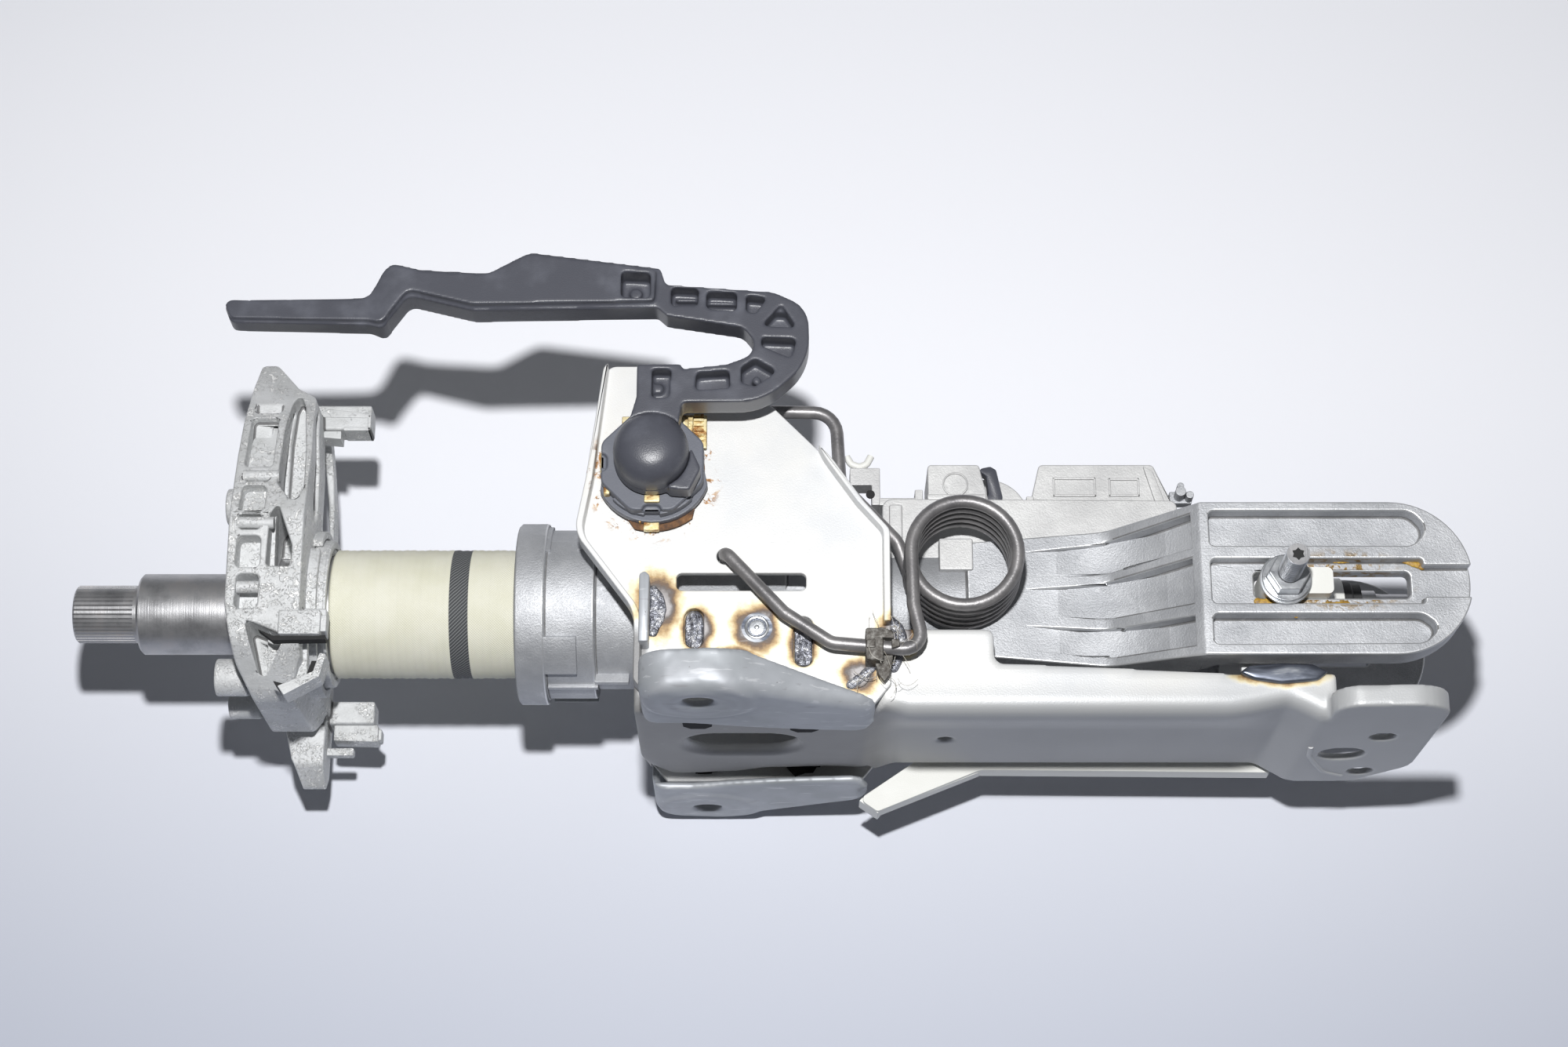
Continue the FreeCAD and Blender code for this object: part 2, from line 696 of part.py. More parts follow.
def column_housing():
    """The sliding casting: collar, tube, clamp cheeks and two ribbed arms around the pivot."""
    body = new_body("column_housing")
    cheek = size.RailHalfWidth - size.SlideGap
    block = new_sketch(body, "YZ_Plane", "Sizes.CheekStart")
    add_outline(block, [
        (-12, -20), (24, -cheek, 6), (size.CheekTop, -cheek, 3), (size.CheekTop, cheek, 3),
        (24, cheek, 6), (-12, 20),
    ])
    pad(body, block, "Sizes.CheekEnd - Sizes.CheekStart")
    hollow = new_sketch(body, "YZ_Plane", "Sizes.CheekEnd + 1")
    inside = cheek - size.CheekThickness
    add_outline(hollow, [
        (size.TubeRadius + 1, -inside, 3), (size.CheekTop + 1, -inside),
        (size.CheekTop + 1, inside), (size.TubeRadius + 1, inside, 3),
    ])
    pocket(body, hollow, "Sizes.CheekEnd - Sizes.CheekStart + 2")
    plan = new_sketch(body, "XY_Plane", "-Sizes.ArmTop")
    add_outline(plan, arm_outline())
    pad(body, plan, "2 * Sizes.ArmTop")
    top = size.ArmTop + 1
    for side in (1, -1):
        outside = new_sketch(body, "XZ_Plane", "Sizes.ArmLowerEdge + 1")
        add_outline(outside, [
            (size.ArmLeft - 1, side * size.RampLow), (size.RampStart, side * size.RampLow, 12),
            (size.RampEnd, side * size.ArmTop, 8), (size.RampEnd + 4, side * top),
            (size.ArmLeft - 1, side * top),
        ])
        pocket(body, outside, "Sizes.ArmLowerEdge + Sizes.ArmUpperEdge + 2")
    deck = size.ArmTop - size.ArmThickness
    between = new_sketch(body, "XZ_Plane", "Sizes.ArmLowerEdge + 1")
    add_outline(between, [
        (size.TubeEnd, -14, 4), (size.RampEnd + 7, -deck, 8), (arm_end + 1, -deck),
        (arm_end + 1, deck), (size.RampEnd + 7, deck, 8), (size.TubeEnd, 14, 4),
    ])
    pocket(body, between, "Sizes.ArmLowerEdge + Sizes.ArmUpperEdge + 2")

    barrel = new_sketch(body, "XY_Plane")
    add_outline(barrel, [
        (size.CollarStart, 0), (size.CollarStart, size.CollarRadius - 1),
        (size.CollarStart + 1, size.CollarRadius), (size.CollarStep, size.CollarRadius),
        (size.CollarStep, size.CollarStepRadius), (size.CollarEnd, size.CollarStepRadius),
        (size.CollarEnd, size.TubeRadius), (size.TubeNeckStart, size.TubeRadius),
        (size.TubeNeckStart + 8, size.TubeNeckRadius), (size.RampStart, size.TubeNeckRadius),
        (size.RampStart, 0),
    ])
    revolve(body, barrel)
    bore = new_sketch(body, "XY_Plane")
    insert = size.CollarStart + size.SleeveInsert
    add_outline(bore, [
        (size.CollarStart - 1, 0), (size.CollarStart - 1, sleeve_outer),
        (insert, sleeve_outer), (insert, size.JacketRadius),
        (size.JacketEnd, size.JacketRadius), (size.JacketEnd, jacket_inner),
        (bearing_end, jacket_inner), (bearing_end, size.LowerBearingShoulder),
        (size.TubeEnd + 8, size.LowerBearingShoulder), (size.TubeEnd + 8, 0),
    ])
    revolve(body, bore, "PartDesign::Groove")
    window = new_sketch(body, "XZ_Plane", "-Sizes.TubeRadius")
    half = size.LockBoltSide / 2 + size.Clearance
    lock = size.LockRingX + size.LockRingWidth / 2
    add_outline(window, [(lock - half, -half), (lock + half, -half), (lock + half, half),
                         (lock - half, half)])
    window_cut = body.newObject("PartDesign::Pocket", "lock_window")
    window_cut.Profile = window
    window_cut.Reversed = True
    window_cut.setExpression("Length", "Sizes.TubeRadius - Sizes.LockRingRadius")
    doc.recompute()

    details = []
    reach_slot = new_sketch(body, "XY_Plane", "Sizes.RailHalfWidth")
    slot_half = size.ReachOut / 2
    add_outline(reach_slot, slot_corners(size.ClampX + slot_half - size.Clearance, size.ClampY,
                                         slot_half + 1, size.ClampBoltRadius + size.Clearance))
    details.append(pocket(body, reach_slot, "Sizes.CheekThickness + 2"))
    long_pockets = new_sketch(body, "XY_Plane", "Sizes.ArmTop")
    left = size.RampEnd + 3
    right = arm_end - 15
    add_outline(long_pockets, [(left, 10, 2), (right - 6, 10, 6), (right, 16.5, 7),
                               (right - 6, 23.5, 7), (left, 23.5, 2)])
    add_outline(long_pockets, [(left, -27.5, 2), (right - 4, -27, 7), (right + 2, -21, 6),
                               (right - 4, -16, 6), (left, -16, 2)])
    details.append(pocket(body, long_pockets, "Sizes.PocketDepth"))
    recess = new_sketch(body, "XY_Plane", "Sizes.ArmTop")
    low = pivot_y - size.BlockHeight / 2 - 3.5
    high = pivot_y + size.BlockHeight / 2 + 3.5
    step = arm_end - 18
    add_outline(recess, [(left, low, 2), (step, low, 2), (step, low + 2.5, 1),
                         (arm_end + 1, low + 2.5), (arm_end + 1, high - 2.5),
                         (step, high - 2.5, 1), (step, high, 2), (left, high, 2)])
    details.append(pocket(body, recess, "Sizes.PocketDepth - 2"))
    slot = new_sketch(body, "XY_Plane", "Sizes.ArmTop")
    half = size.BlockHeight / 2 + size.FitClearance * 2
    inner_end = size.PivotX - size.SlotInner
    outer_end = size.PivotX + size.SlotOuter
    add_outline(slot, [(inner_end, pivot_y - half, 2), (outer_end, pivot_y - half, 2),
                       (outer_end, pivot_y + half, 2), (inner_end, pivot_y + half, 2)])
    details.append(pocket(body, slot, "Sizes.ArmThickness + 1"))
    for near_edge, far_edge in (((15.5, 5.5), (23.0, 10.0)), ((1.0, -8.5), (6.0, -11.0)),
                                ((-13.0, -22.5), (-16.0, -27.0))):
        details += wedge_pockets(body, near_edge, far_edge)
    mirrored(body, details)
    return body


def wedge_pockets(body, narrow, wide):
    """A wedge pocket on the ramp, its floor in two planes that meet below the ramp's foot."""
    tip = size.ArmLeft + 20
    kink = size.RampStart + 5
    last = size.RampEnd
    low = size.RampLow - 5
    share = (kink - tip) / (last - tip)
    middle = [n + (w - n) * share for n, w in zip(narrow, wide)]
    features = []
    spans = ((tip, kink, size.RampLow + 0.2, low, narrow, middle),
             (kink, last, low, size.ArmTop - size.PocketDepth, middle, wide))
    for start, end, start_z, end_z, start_y, end_y in spans:
        angle = math.atan2(end_z - start_z, end - start)
        length = math.hypot(end - start, end_z - start_z)
        sketch = body.newObject("Sketcher::SketchObject", "wedge")
        sketch.AttachmentSupport = [(origin_plane(body, "XY_Plane"), "")]
        sketch.MapMode = "FlatFace"
        turn = FreeCAD.Rotation(V(0, 1, 0), -math.degrees(angle))
        sketch.AttachmentOffset = FreeCAD.Placement(V(start, 0, start_z), turn)
        add_outline(sketch, [(0, start_y[1]), (length, end_y[1]), (length, end_y[0]),
                             (0, start_y[0])])
        features.append(pocket(body, sketch, "Sizes.ArmTop", upward=True))
    return features


def lock_housing():
    """The steering lock's casting, saddled on the tube, with two raised blocks."""
    body = new_body("lock_housing")
    unit = size.LockLength / 112
    start = size.LockStart

    def drawn(points):
        return scaled(points, unit, start, 0)

    ledge = new_sketch(body, "XY_Plane", "-Sizes.LockLength * 0.16")
    add_outline(ledge, drawn([(0, 12, 3), (104, 12, 3), (112, 39, 3), (0, 39.7, 4)]))
    pad(body, ledge, "Sizes.LockLength * 0.33")
    blocks = new_sketch(body, "XY_Plane", "-Sizes.LockLength * 0.107")
    add_outline(blocks, drawn([(17.5, 30), (41, 30), (40.6, 40, 2), (37, 55, 1.5), (17.5, 55, 1.5)]))
    add_outline(blocks, drawn([(54, 30), (108, 30), (110.5, 38, 2), (103, 55, 2), (59.8, 55, 2)]))
    pad(body, blocks, "Sizes.LockLength * 0.24")
    boss = new_sketch(body, "XY_Plane", "-Sizes.LockLength * 0.3")
    add_circle(boss, size.BarrelX, size.BarrelY, "Sizes.BarrelRadius + 3")
    pad(body, boss, "Sizes.LockLength * 0.27")
    saddle = new_sketch(body, "YZ_Plane", "Sizes.LockStart + Sizes.LockLength + 10")
    add_circle(saddle, 0, 0, "Sizes.TubeNeckRadius")
    pocket(body, saddle, "Sizes.LockLength + 30")
    seat = new_sketch(body, "XY_Plane", "Sizes.ArmTop")
    rise = (size.ArmUpperEdge - size.BlockTop) / (size.RampEnd - size.ArmLeft)
    add_outline(seat, [(size.ArmLeft, 0), (size.RampEnd, 0), (size.RampEnd, size.ArmUpperEdge),
                       (size.ArmLeft, size.ArmUpperEdge - rise * (size.RampEnd - size.ArmLeft))])
    pocket(body, seat, "2 * Sizes.ArmTop")
    guide = new_sketch(body, "XZ_Plane", "-Sizes.LockGuideTop")
    half = size.LockBoltSide / 2 + size.Clearance
    lock = size.LockRingX + size.LockRingWidth / 2
    add_outline(guide, [(lock - half, -half), (lock + half, -half), (lock + half, half),
                        (lock - half, half)])
    feature = body.newObject("PartDesign::Pocket", "bolt_guide")
    feature.Profile = guide
    feature.Reversed = True
    feature.setExpression("Length", "Sizes.LockGuideTop")
    barrel = new_sketch(body, "XY_Plane", "-Sizes.BarrelStart")
    add_circle(barrel, size.BarrelX, size.BarrelY, "Sizes.BarrelRadius")
    doc.recompute()
    pocket(body, barrel, "2 * Sizes.BarrelStart")
    return body


def lock_pieces():
    """The lock's bolt and its spring, and the barrel with the rotor that a key turns."""
    lock = size.LockRingX + size.LockRingWidth / 2
    half = size.LockBoltSide / 2
    tip = size.LockRingRadius + 1.5
    seat = tip + size.LockBoltLength
    bolt = new_body("lock_bolt")
    face = new_sketch(bolt, "XZ_Plane", "%.3f" % -tip)
    add_outline(face, [(lock - half, -half, 0.8), (lock + half, -half, 0.8),
                       (lock + half, half, 0.8), (lock - half, half, 0.8)])
    shank = bolt.newObject("PartDesign::Pad", "bolt_shank")
    shank.Profile = face
    shank.Reversed = True
    shank.setExpression("Length", "Sizes.LockBoltLength")
    doc.recompute()
    spring = new_body("lock_spring")
    ring = new_sketch(spring, "XZ_Plane", "%.3f" % -seat)
    add_circle(ring, lock, 0, "Sizes.LockBoltSide / 2 - 0.3")
    add_circle(ring, lock, 0, "Sizes.LockBoltSide / 2 - 1.2")
    coil = spring.newObject("PartDesign::Pad", "spring_stack")
    coil.Profile = ring
    coil.Reversed = True
    coil.setExpression("Length", "%.3f" % (size.LockGuideTop - size.Clearance - seat))
    doc.recompute()
    x, y, start = size.BarrelX, size.BarrelY, -size.BarrelStart
    down = V(0, 0, -1)
    outer = cylinder("barrel_shell", "Sizes.BarrelRadius", "Sizes.BarrelReach - Sizes.BarrelStart",
                     V(x, y, start), down)
    hole = cylinder("barrel_hole", "Sizes.RotorRadius + Sizes.FitClearance",
                    "Sizes.BarrelReach", V(x, y, start - 4), down)
    register(cut("lock_barrel", outer, hole), "lock_barrel")
    rotor = cylinder("rotor_core", "Sizes.RotorRadius",
                     "Sizes.BarrelReach - Sizes.BarrelStart - 5",
                     V(x, y, start - 4 - size.Clearance), down)
    key = doc.addObject("Part::Box", "key_slot")
    key.setExpression("Length", "Sizes.RotorRadius - 0.6")
    key.Width = 2.0
    key.setExpression("Height", "Sizes.RotorRadius + 3")
    key.Placement.Base = V(x - (size.RotorRadius - 0.6) / 2, y - 1, -size.BarrelReach - 1)
    register(cut("lock_rotor", rotor, key), "lock_rotor")


def switch_carrier():
    """The ribbed casting at the wheel end that carries the column switches."""
    body = new_body("switch_carrier")
    unit = size.CarrierHeight / 100
    left = size.CarrierStart

    def side_view(points):
        return scaled(points, unit, left, 0)

    def end_view(points):
        return scaled(points, unit, 0, 0)

    side = new_sketch(body, "XY_Plane", "-Sizes.CarrierHeight / 2")
    add_outline(side, side_view([
        (4, 98.5, 3), (9, 98.5, 3), (20, 84, 4), (27.5, 79, 5), (29, 52, 6), (35, 29, 4),
        (35, -24, 3), (28, -29, 4), (23, -44, 6), (12, -44, 4), (5, -30, 12), (1.5, -10, 12),
        (1.5, 50, 12), (2.5, 84, 6),
    ]))
    pad(body, side, "Sizes.CarrierHeight")
    outside = new_sketch(body, "YZ_Plane", "Sizes.CarrierStart + Sizes.CarrierHeight / 2")
    far = 80
    add_outline(outside, end_view([(-far, -far), (far * 1.5, -far), (far * 1.5, far), (-far, far)]))
    add_outline(outside, end_view([
        (-38, -30, 10), (-24, -46, 10), (24, -44, 20), (66, -30, 20), (98.4, -11, 8),
        (98.4, 11, 8), (66, 32, 20), (24, 46, 20), (-22, 44, 14), (-40, 22, 14),
    ]))
    pocket(body, outside, "Sizes.CarrierHeight")
    for low, high in (((30, -34), (80, 16)), ((30, 6), (80, 40))):
        bowl = new_sketch(body, "YZ_Plane", "Sizes.CarrierStart + Sizes.CarrierHeight * 0.34")
        add_outline(bowl, end_view([
            (low[0], low[1] + 8, 6), (high[0] - 14, low[1] + 12, 6), (high[0], high[1] - 26, 6),
            (high[0] - 12, high[1] - 14, 6), (low[0], high[1] - 14, 6)]))
        pocket(body, bowl, "Sizes.CarrierHeight * 0.22")
    hub = new_sketch(body, "YZ_Plane", "Sizes.CarrierStart + Sizes.CarrierHeight * 0.36")
    add_circle(hub, 0, 0, "Sizes.CarrierHeight * 0.7")
    add_circle(hub, 0, 0, "Sizes.JacketRadius + 6")
    pocket(body, hub, "Sizes.CarrierHeight * 0.07")
    throat = new_sketch(body, "YZ_Plane", "Sizes.CarrierStart + Sizes.CarrierHeight / 2")
    add_circle(throat, 0, 0, "Sizes.JacketRadius")
    pocket(body, throat, "Sizes.CarrierHeight")
    details = []
    panels = new_sketch(body, "XY_Plane", "Sizes.CarrierHeight / 2")
    for low, high, start, end in ((70.5, 79.5, 5.5, 15.6), (45, 67.5, 4.5, 15), (38.5, 43, 4.5, 14.5),
                                  (25.5, 36.5, 4.5, 14), (18, 24, 4.5, 13.5), (3.5, 15.5, 4.5, 13.5),
                                  (-12, 1, 5, 13.5)):
        add_outline(panels, side_view([(start, low, 2), (end, low, 2), (end, high, 2),
                                       (start + 0.5, high, 2)]))
    add_outline(panels, side_view([(9, -16, 1.5), (24, -22, 1.5), (14, -36, 2)]))
    details.append(pocket(body, panels, "Sizes.CarrierHeight * 0.24"))
    window = new_sketch(body, "XY_Plane", "Sizes.CarrierHeight / 2")
    add_outline(window, side_view([(17.5, 38, 3), (17.8, 62, 8), (19, 76, 5), (21.2, 80.5, 1.2), (24, 74, 6),
                                   (26.5, 54, 8), (27.5, 36, 4), (24.5, 28, 3)]))
    add_outline(window, side_view([(15.8, 4, 1.5), (16.5, 24, 2), (19, 28.5, 1), (25, 12, 2), (25, 4, 1.5)]))
    details.append(pocket(body, window, "Sizes.CarrierHeight * 0.36"))
    mirrored(body, details)
    bosses = new_sketch(body, "YZ_Plane", "Sizes.CarrierStart - 6")
    for y, height in ((39.5, 10), (-28, 10), (39.5, -20), (-28, -20)):
        add_circle(bosses, y * unit, height * unit, "Sizes.CarrierHeight * 0.07")
    pad(body, bosses, "Sizes.CarrierHeight * 0.12")
    wing = new_sketch(body, "YZ_Plane", "Sizes.CarrierStart + Sizes.CarrierHeight * 0.12")
    add_outline(wing, end_view([(-56, -50, 4), (-50, -56, 4), (-20, -54, 3), (-20, -36), (-48, -38, 4)]))
    pad(body, wing, "Sizes.CarrierHeight * 0.16")
    prongs = new_sketch(body, "YZ_Plane", "Sizes.CarrierStart + Sizes.CarrierHeight * 0.2")
    add_outline(prongs, end_view([(73, -6, 1), (83, -6, 1), (83, 6, 1), (73, 6, 1)]))
    add_outline(prongs, end_view([(-31, -53, 1), (-22, -53, 1), (-22, -41, 1), (-31, -41, 1)]))
    pad(body, prongs, "Sizes.CarrierHeight * 0.26")
    stub = new_sketch(body, "YZ_Plane", "Sizes.CarrierStart + Sizes.CarrierHeight * 0.18")
    add_outline(stub, end_view([(-20, 30, 1), (-10, 30, 1), (-10, 38, 1), (-20, 38, 1)]))
    pad(body, stub, "Sizes.CarrierHeight * 0.2")
    return body


def jacket_pieces():
    """The steel jacket tube and the woven sleeve over it."""
    turned_body("jacket_tube",
                [(size.JacketStart, size.JacketRadius), (size.JacketEnd, size.JacketRadius)],
                [(size.JacketStart, jacket_inner), (size.JacketEnd, jacket_inner)])
    end = size.CollarStart + size.SleeveInsert
    turned_body("woven_sleeve", [(sleeve_start, sleeve_outer), (end, sleeve_outer)],
                [(sleeve_start, size.JacketRadius), (end, size.JacketRadius)])
    turned_body("upper_bearing",
                [(size.JacketStart + 2, jacket_inner),
                 (size.JacketStart + 2 + size.BearingWidth, jacket_inner)],
                [(size.JacketStart + 2, size.SpindleRadius + size.FitClearance),
                 (size.JacketStart + 2 + size.BearingWidth, size.SpindleRadius + size.FitClearance)])
    inner = size.ShaftRadius + 2 + size.FitClearance
    turned_body("lower_bearing", [(bearing_start, jacket_inner), (bearing_end, jacket_inner)],
                [(bearing_start, inner), (bearing_end, inner)])


def spindle_pieces():
    """The splined upper spindle, the lower shaft that telescopes in it, and what they carry."""
    upper = new_body("upper_spindle")
    profile = new_sketch(upper, "XY_Plane")
    socket = size.ShaftRadius + size.FitClearance
    add_outline(profile, [
        (0, size.BoltCoreRadius), (0, size.SplineRadius - 0.8), (0.8, size.SplineRadius),
        (size.SplineLength, size.SplineRadius), (size.SplineLength, size.SpindleRadius - 1),
        (size.SplineLength + 1, size.SpindleRadius), (size.SpindleStep, size.SpindleRadius),
        (size.SpindleStep + 6, size.SpindleTubeRadius),
        (size.SpindleTubeEnd, size.SpindleTubeRadius), (size.SpindleTubeEnd, socket),
        (size.SpindleTubeEnd - 70, socket), (size.SpindleTubeEnd - 76, 0),
        (size.BoltDepth + 3, 0), (size.BoltDepth, size.BoltCoreRadius),
    ])
    revolve(upper, profile)
    tooth = new_sketch(upper, "YZ_Plane", "Sizes.SplineLength - 2")
    width = math.pi * size.SplineRadius / size.SplineCount / 2
    add_outline(tooth, [(-width, size.SplineRadius + 0.2), (0, size.SplineRadius - size.SplineDepth),
                        (width, size.SplineRadius + 0.2)])
    groove = pocket(upper, tooth, "Sizes.SplineLength")
    teeth = upper.newObject("PartDesign::PolarPattern", "spline_teeth")
    teeth.Originals = [groove]
    teeth.Axis = (origin_plane(upper, "X_Axis"), [""])
    teeth.Angle = 360
    teeth.setExpression("Occurrences", "Sizes.SplineCount")
    upper.Tip = teeth
    doc.recompute()

    shaft = size.ShaftRadius
    seat = shaft + 2
    turned_body("lower_spindle", [
        (size.SpindleTubeEnd - 68, shaft), (size.SpindleTubeEnd + 3, shaft),
        (size.SpindleTubeEnd + 3, seat), (bearing_end + 6, seat),
        (bearing_end + 6, shaft), (490, shaft), (490, 8.0), (493, size.ShaftTipRadius),
        (size.ShaftEnd - 1, size.ShaftTipRadius), (size.ShaftEnd, size.ShaftTipRadius - 1),
    ])
    ring = new_body("lock_ring")
    blank = new_sketch(ring, "YZ_Plane", "Sizes.LockRingX")
    add_circle(blank, 0, 0, "Sizes.LockRingRadius")
    add_circle(blank, 0, 0, "%.3f" % seat)
    pad(ring, blank, "Sizes.LockRingWidth")
    notch = new_sketch(ring, "YZ_Plane", "Sizes.LockRingX + Sizes.LockRingWidth + 1")
    half = size.LockBoltSide / 2 + size.Clearance
    deep = size.LockRingRadius - 2.5
    add_outline(notch, [(deep, -half), (size.LockRingRadius + 2, -half),
                        (size.LockRingRadius + 2, half), (deep, half)])
    groove = pocket(ring, notch, "Sizes.LockRingWidth + 2")
    slots = ring.newObject("PartDesign::PolarPattern", "ring_slots")
    slots.Originals = [groove]
    slots.Axis = (origin_plane(ring, "X_Axis"), [""])
    slots.Angle = 360
    slots.setExpression("Occurrences", "Sizes.LockSlots")
    ring.Tip = slots
    doc.recompute()
    collar, seal, tail = size.ShaftCollarX, size.ShaftSealX, size.ShaftSealX + 7
    turned_body("shaft_collar", [(collar, 12.9), (collar + 0.8, 13.7), (seal, 13.7)],
                [(collar, shaft), (seal, shaft)])
    turned_body("shaft_seal", [(seal, 12.5), (seal + 3.2, 12.5), (seal + 4, 11.7), (tail, 11.7)],
                [(seal, shaft), (tail, shaft)])


def clamp_pieces():
    """Bolt, cams, washers and nut that squeeze the side plates onto the column's cheeks."""
    x, y = size.ClampX, size.ClampY
    far = -(plate_outer + size.PlateThickness)
    shank = cylinder("bolt_shank_solid", "Sizes.ClampBoltRadius",
                     "Sizes.RailHalfWidth + Sizes.SheetThickness + Sizes.PlateThickness"
                     " + Sizes.HubTop + Sizes.ClampNutHeight + 1", V(x, y, far))
    head = prism("bolt_head_solid", "Sizes.NutFlats", "Sizes.ClampHeadHeight",
                 V(x, y, far - size.ClampHeadHeight))
    register(fuse("clamp_bolt", [shank, head]), "clamp_bolt")
    plate = cylinder("clamp_washer_solid", "Sizes.NutFlats",
                     "Sizes.PlateThickness - Sizes.FitClearance", V(x, y, far))
    hole = cylinder("clamp_washer_hole", "Sizes.ClampBoltRadius", "Sizes.PlateThickness + 2",
                    V(x, y, far - 1))
    register(cut("clamp_washer", plate, hole), "clamp_washer")
    hexagon = prism("clamp_nut_solid", "Sizes.NutFlats", "Sizes.ClampNutHeight",
                    V(x, y, size.HubTop + size.Clearance))
    thread = cylinder("clamp_nut_hole", "Sizes.ClampBoltRadius", "Sizes.ClampNutHeight + 4",
                      V(x, y, size.HubTop - 1))
    register(cut("clamp_nut", hexagon, thread), "clamp_nut")

    disc = new_body("pressure_disc")
    base = "Sizes.RailHalfWidth + Sizes.SheetThickness + Sizes.ClampStroke"
    face = new_sketch(disc, "XY_Plane", base)
    half = size.DiscHalf
    near = half * 0.45
    add_outline(face, [(x - half, y - near, 8), (x - near, y - half, 8), (x + near, y - half, 8),
                       (x + half, y - near, 8), (x + half, y + half - 5, 3), (x + half - 5, y + half, 3),
                       (x - half + 5, y + half, 3), (x - half, y + half - 5, 3)])
    add_circle(face, x, y, "Sizes.ClampBoltRadius + Sizes.FitClearance")
    pad(disc, face, "Sizes.DiscThickness")

    ring = new_body("cam_ring")
    outline = new_sketch(ring, "XY_Plane", base + " + Sizes.DiscThickness + 0.2")
    eighth = math.radians(45)
    reach = size.RingRadius / math.cos(eighth / 2)
    corners = []
    for step in range(8):
        angle = eighth * (step + 0.5)
        corners.append((x + reach * math.cos(angle), y + reach * math.sin(angle), 5))
    add_outline(outline, corners)
    add_circle(outline, x, y, "Sizes.ClampBoltRadius")
    pad(ring, outline, "Sizes.RingThickness")
    notches = new_sketch(ring, "XY_Plane", base + " + Sizes.DiscThickness + Sizes.RingThickness + 1")
    for angle in (180, 270):
        add_outline(notches, slot_corners(x + size.RingRadius * math.cos(math.radians(angle)),
                                          y + size.RingRadius * math.sin(math.radians(angle)),
                                          1.2, 2.2, angle + 90))
    pocket(ring, notches, "Sizes.RingThickness / 2")
    return ring


LEVER_GRIP = [(-46, 78, 8), (-61, 69.5, 8), (-86, 71, 4), (-98, 74, 5), (-105, 61.5, 6),
              (-147, 61, 20), (-157.5, 59, 3), (-154.5, 48.5, 3), (-99, 47.5, 4), (-90, 60.5, 4),
              (-66, 54.5, 8)]
LEVER_HOOK = [(1.5, 55.8, 2), (5, 52.5, 2), (33, 48, 6), (37.5, 42, 6), (35.5, 36.5, 6), (27, 33.2, 6),
              (11, 31.4, 1.5), (10.5, 33.4, 2), (-2, 33.4, 2), (-9, 8, 2), (9.5, 8), (11, 18.4, 2),
              (40, 18.6, 22), (57.5, 34, 22), (56.8, 56, 14), (44, 62, 10), (4.5, 65, 2)]
LEVER_POCKETS = [
    [(-11.8, 59, 1.5), (-1.1, 58.6, 1.5), (-1.1, 68.5, 1.5), (-11.8, 69.2, 1.5)],
    [(6.6, 56.5, 1.5), (16.4, 56.5, 1.5), (16.7, 63.4, 1.5), (6.6, 63.9, 1.5)],
    [(19.6, 55.4, 1.5), (30.6, 54.4, 1.5), (30.7, 61.8, 1.5), (19.6, 62.3, 1.5)],
    [(34.1, 54.4, 1), (37.5, 53.4, 1), (41.8, 59.8, 1), (34.1, 60.7, 1)],
    [(39.8, 48.6, 1), (52.6, 47.8, 1), (47, 57, 1)],
    [(39.8, 40.5, 1), (50.6, 35.6, 1.5), (52.6, 43.4, 1.5), (39.8, 44, 1)],
    [(32.4, 26, 1), (37.5, 24.6, 1.5), (45.6, 30.5, 1.5), (37.5, 35.6, 1.5), (32.4, 32, 1)],
    [(15.7, 23.3, 1.5), (28.5, 23.8, 1.5), (28, 30.9, 1.5), (16.1, 30, 1.5)],
    [(-2.8, 20.5, 1), (6.2, 20.2, 1), (7, 31.2, 1), (-1.1, 31.4, 1)],
]


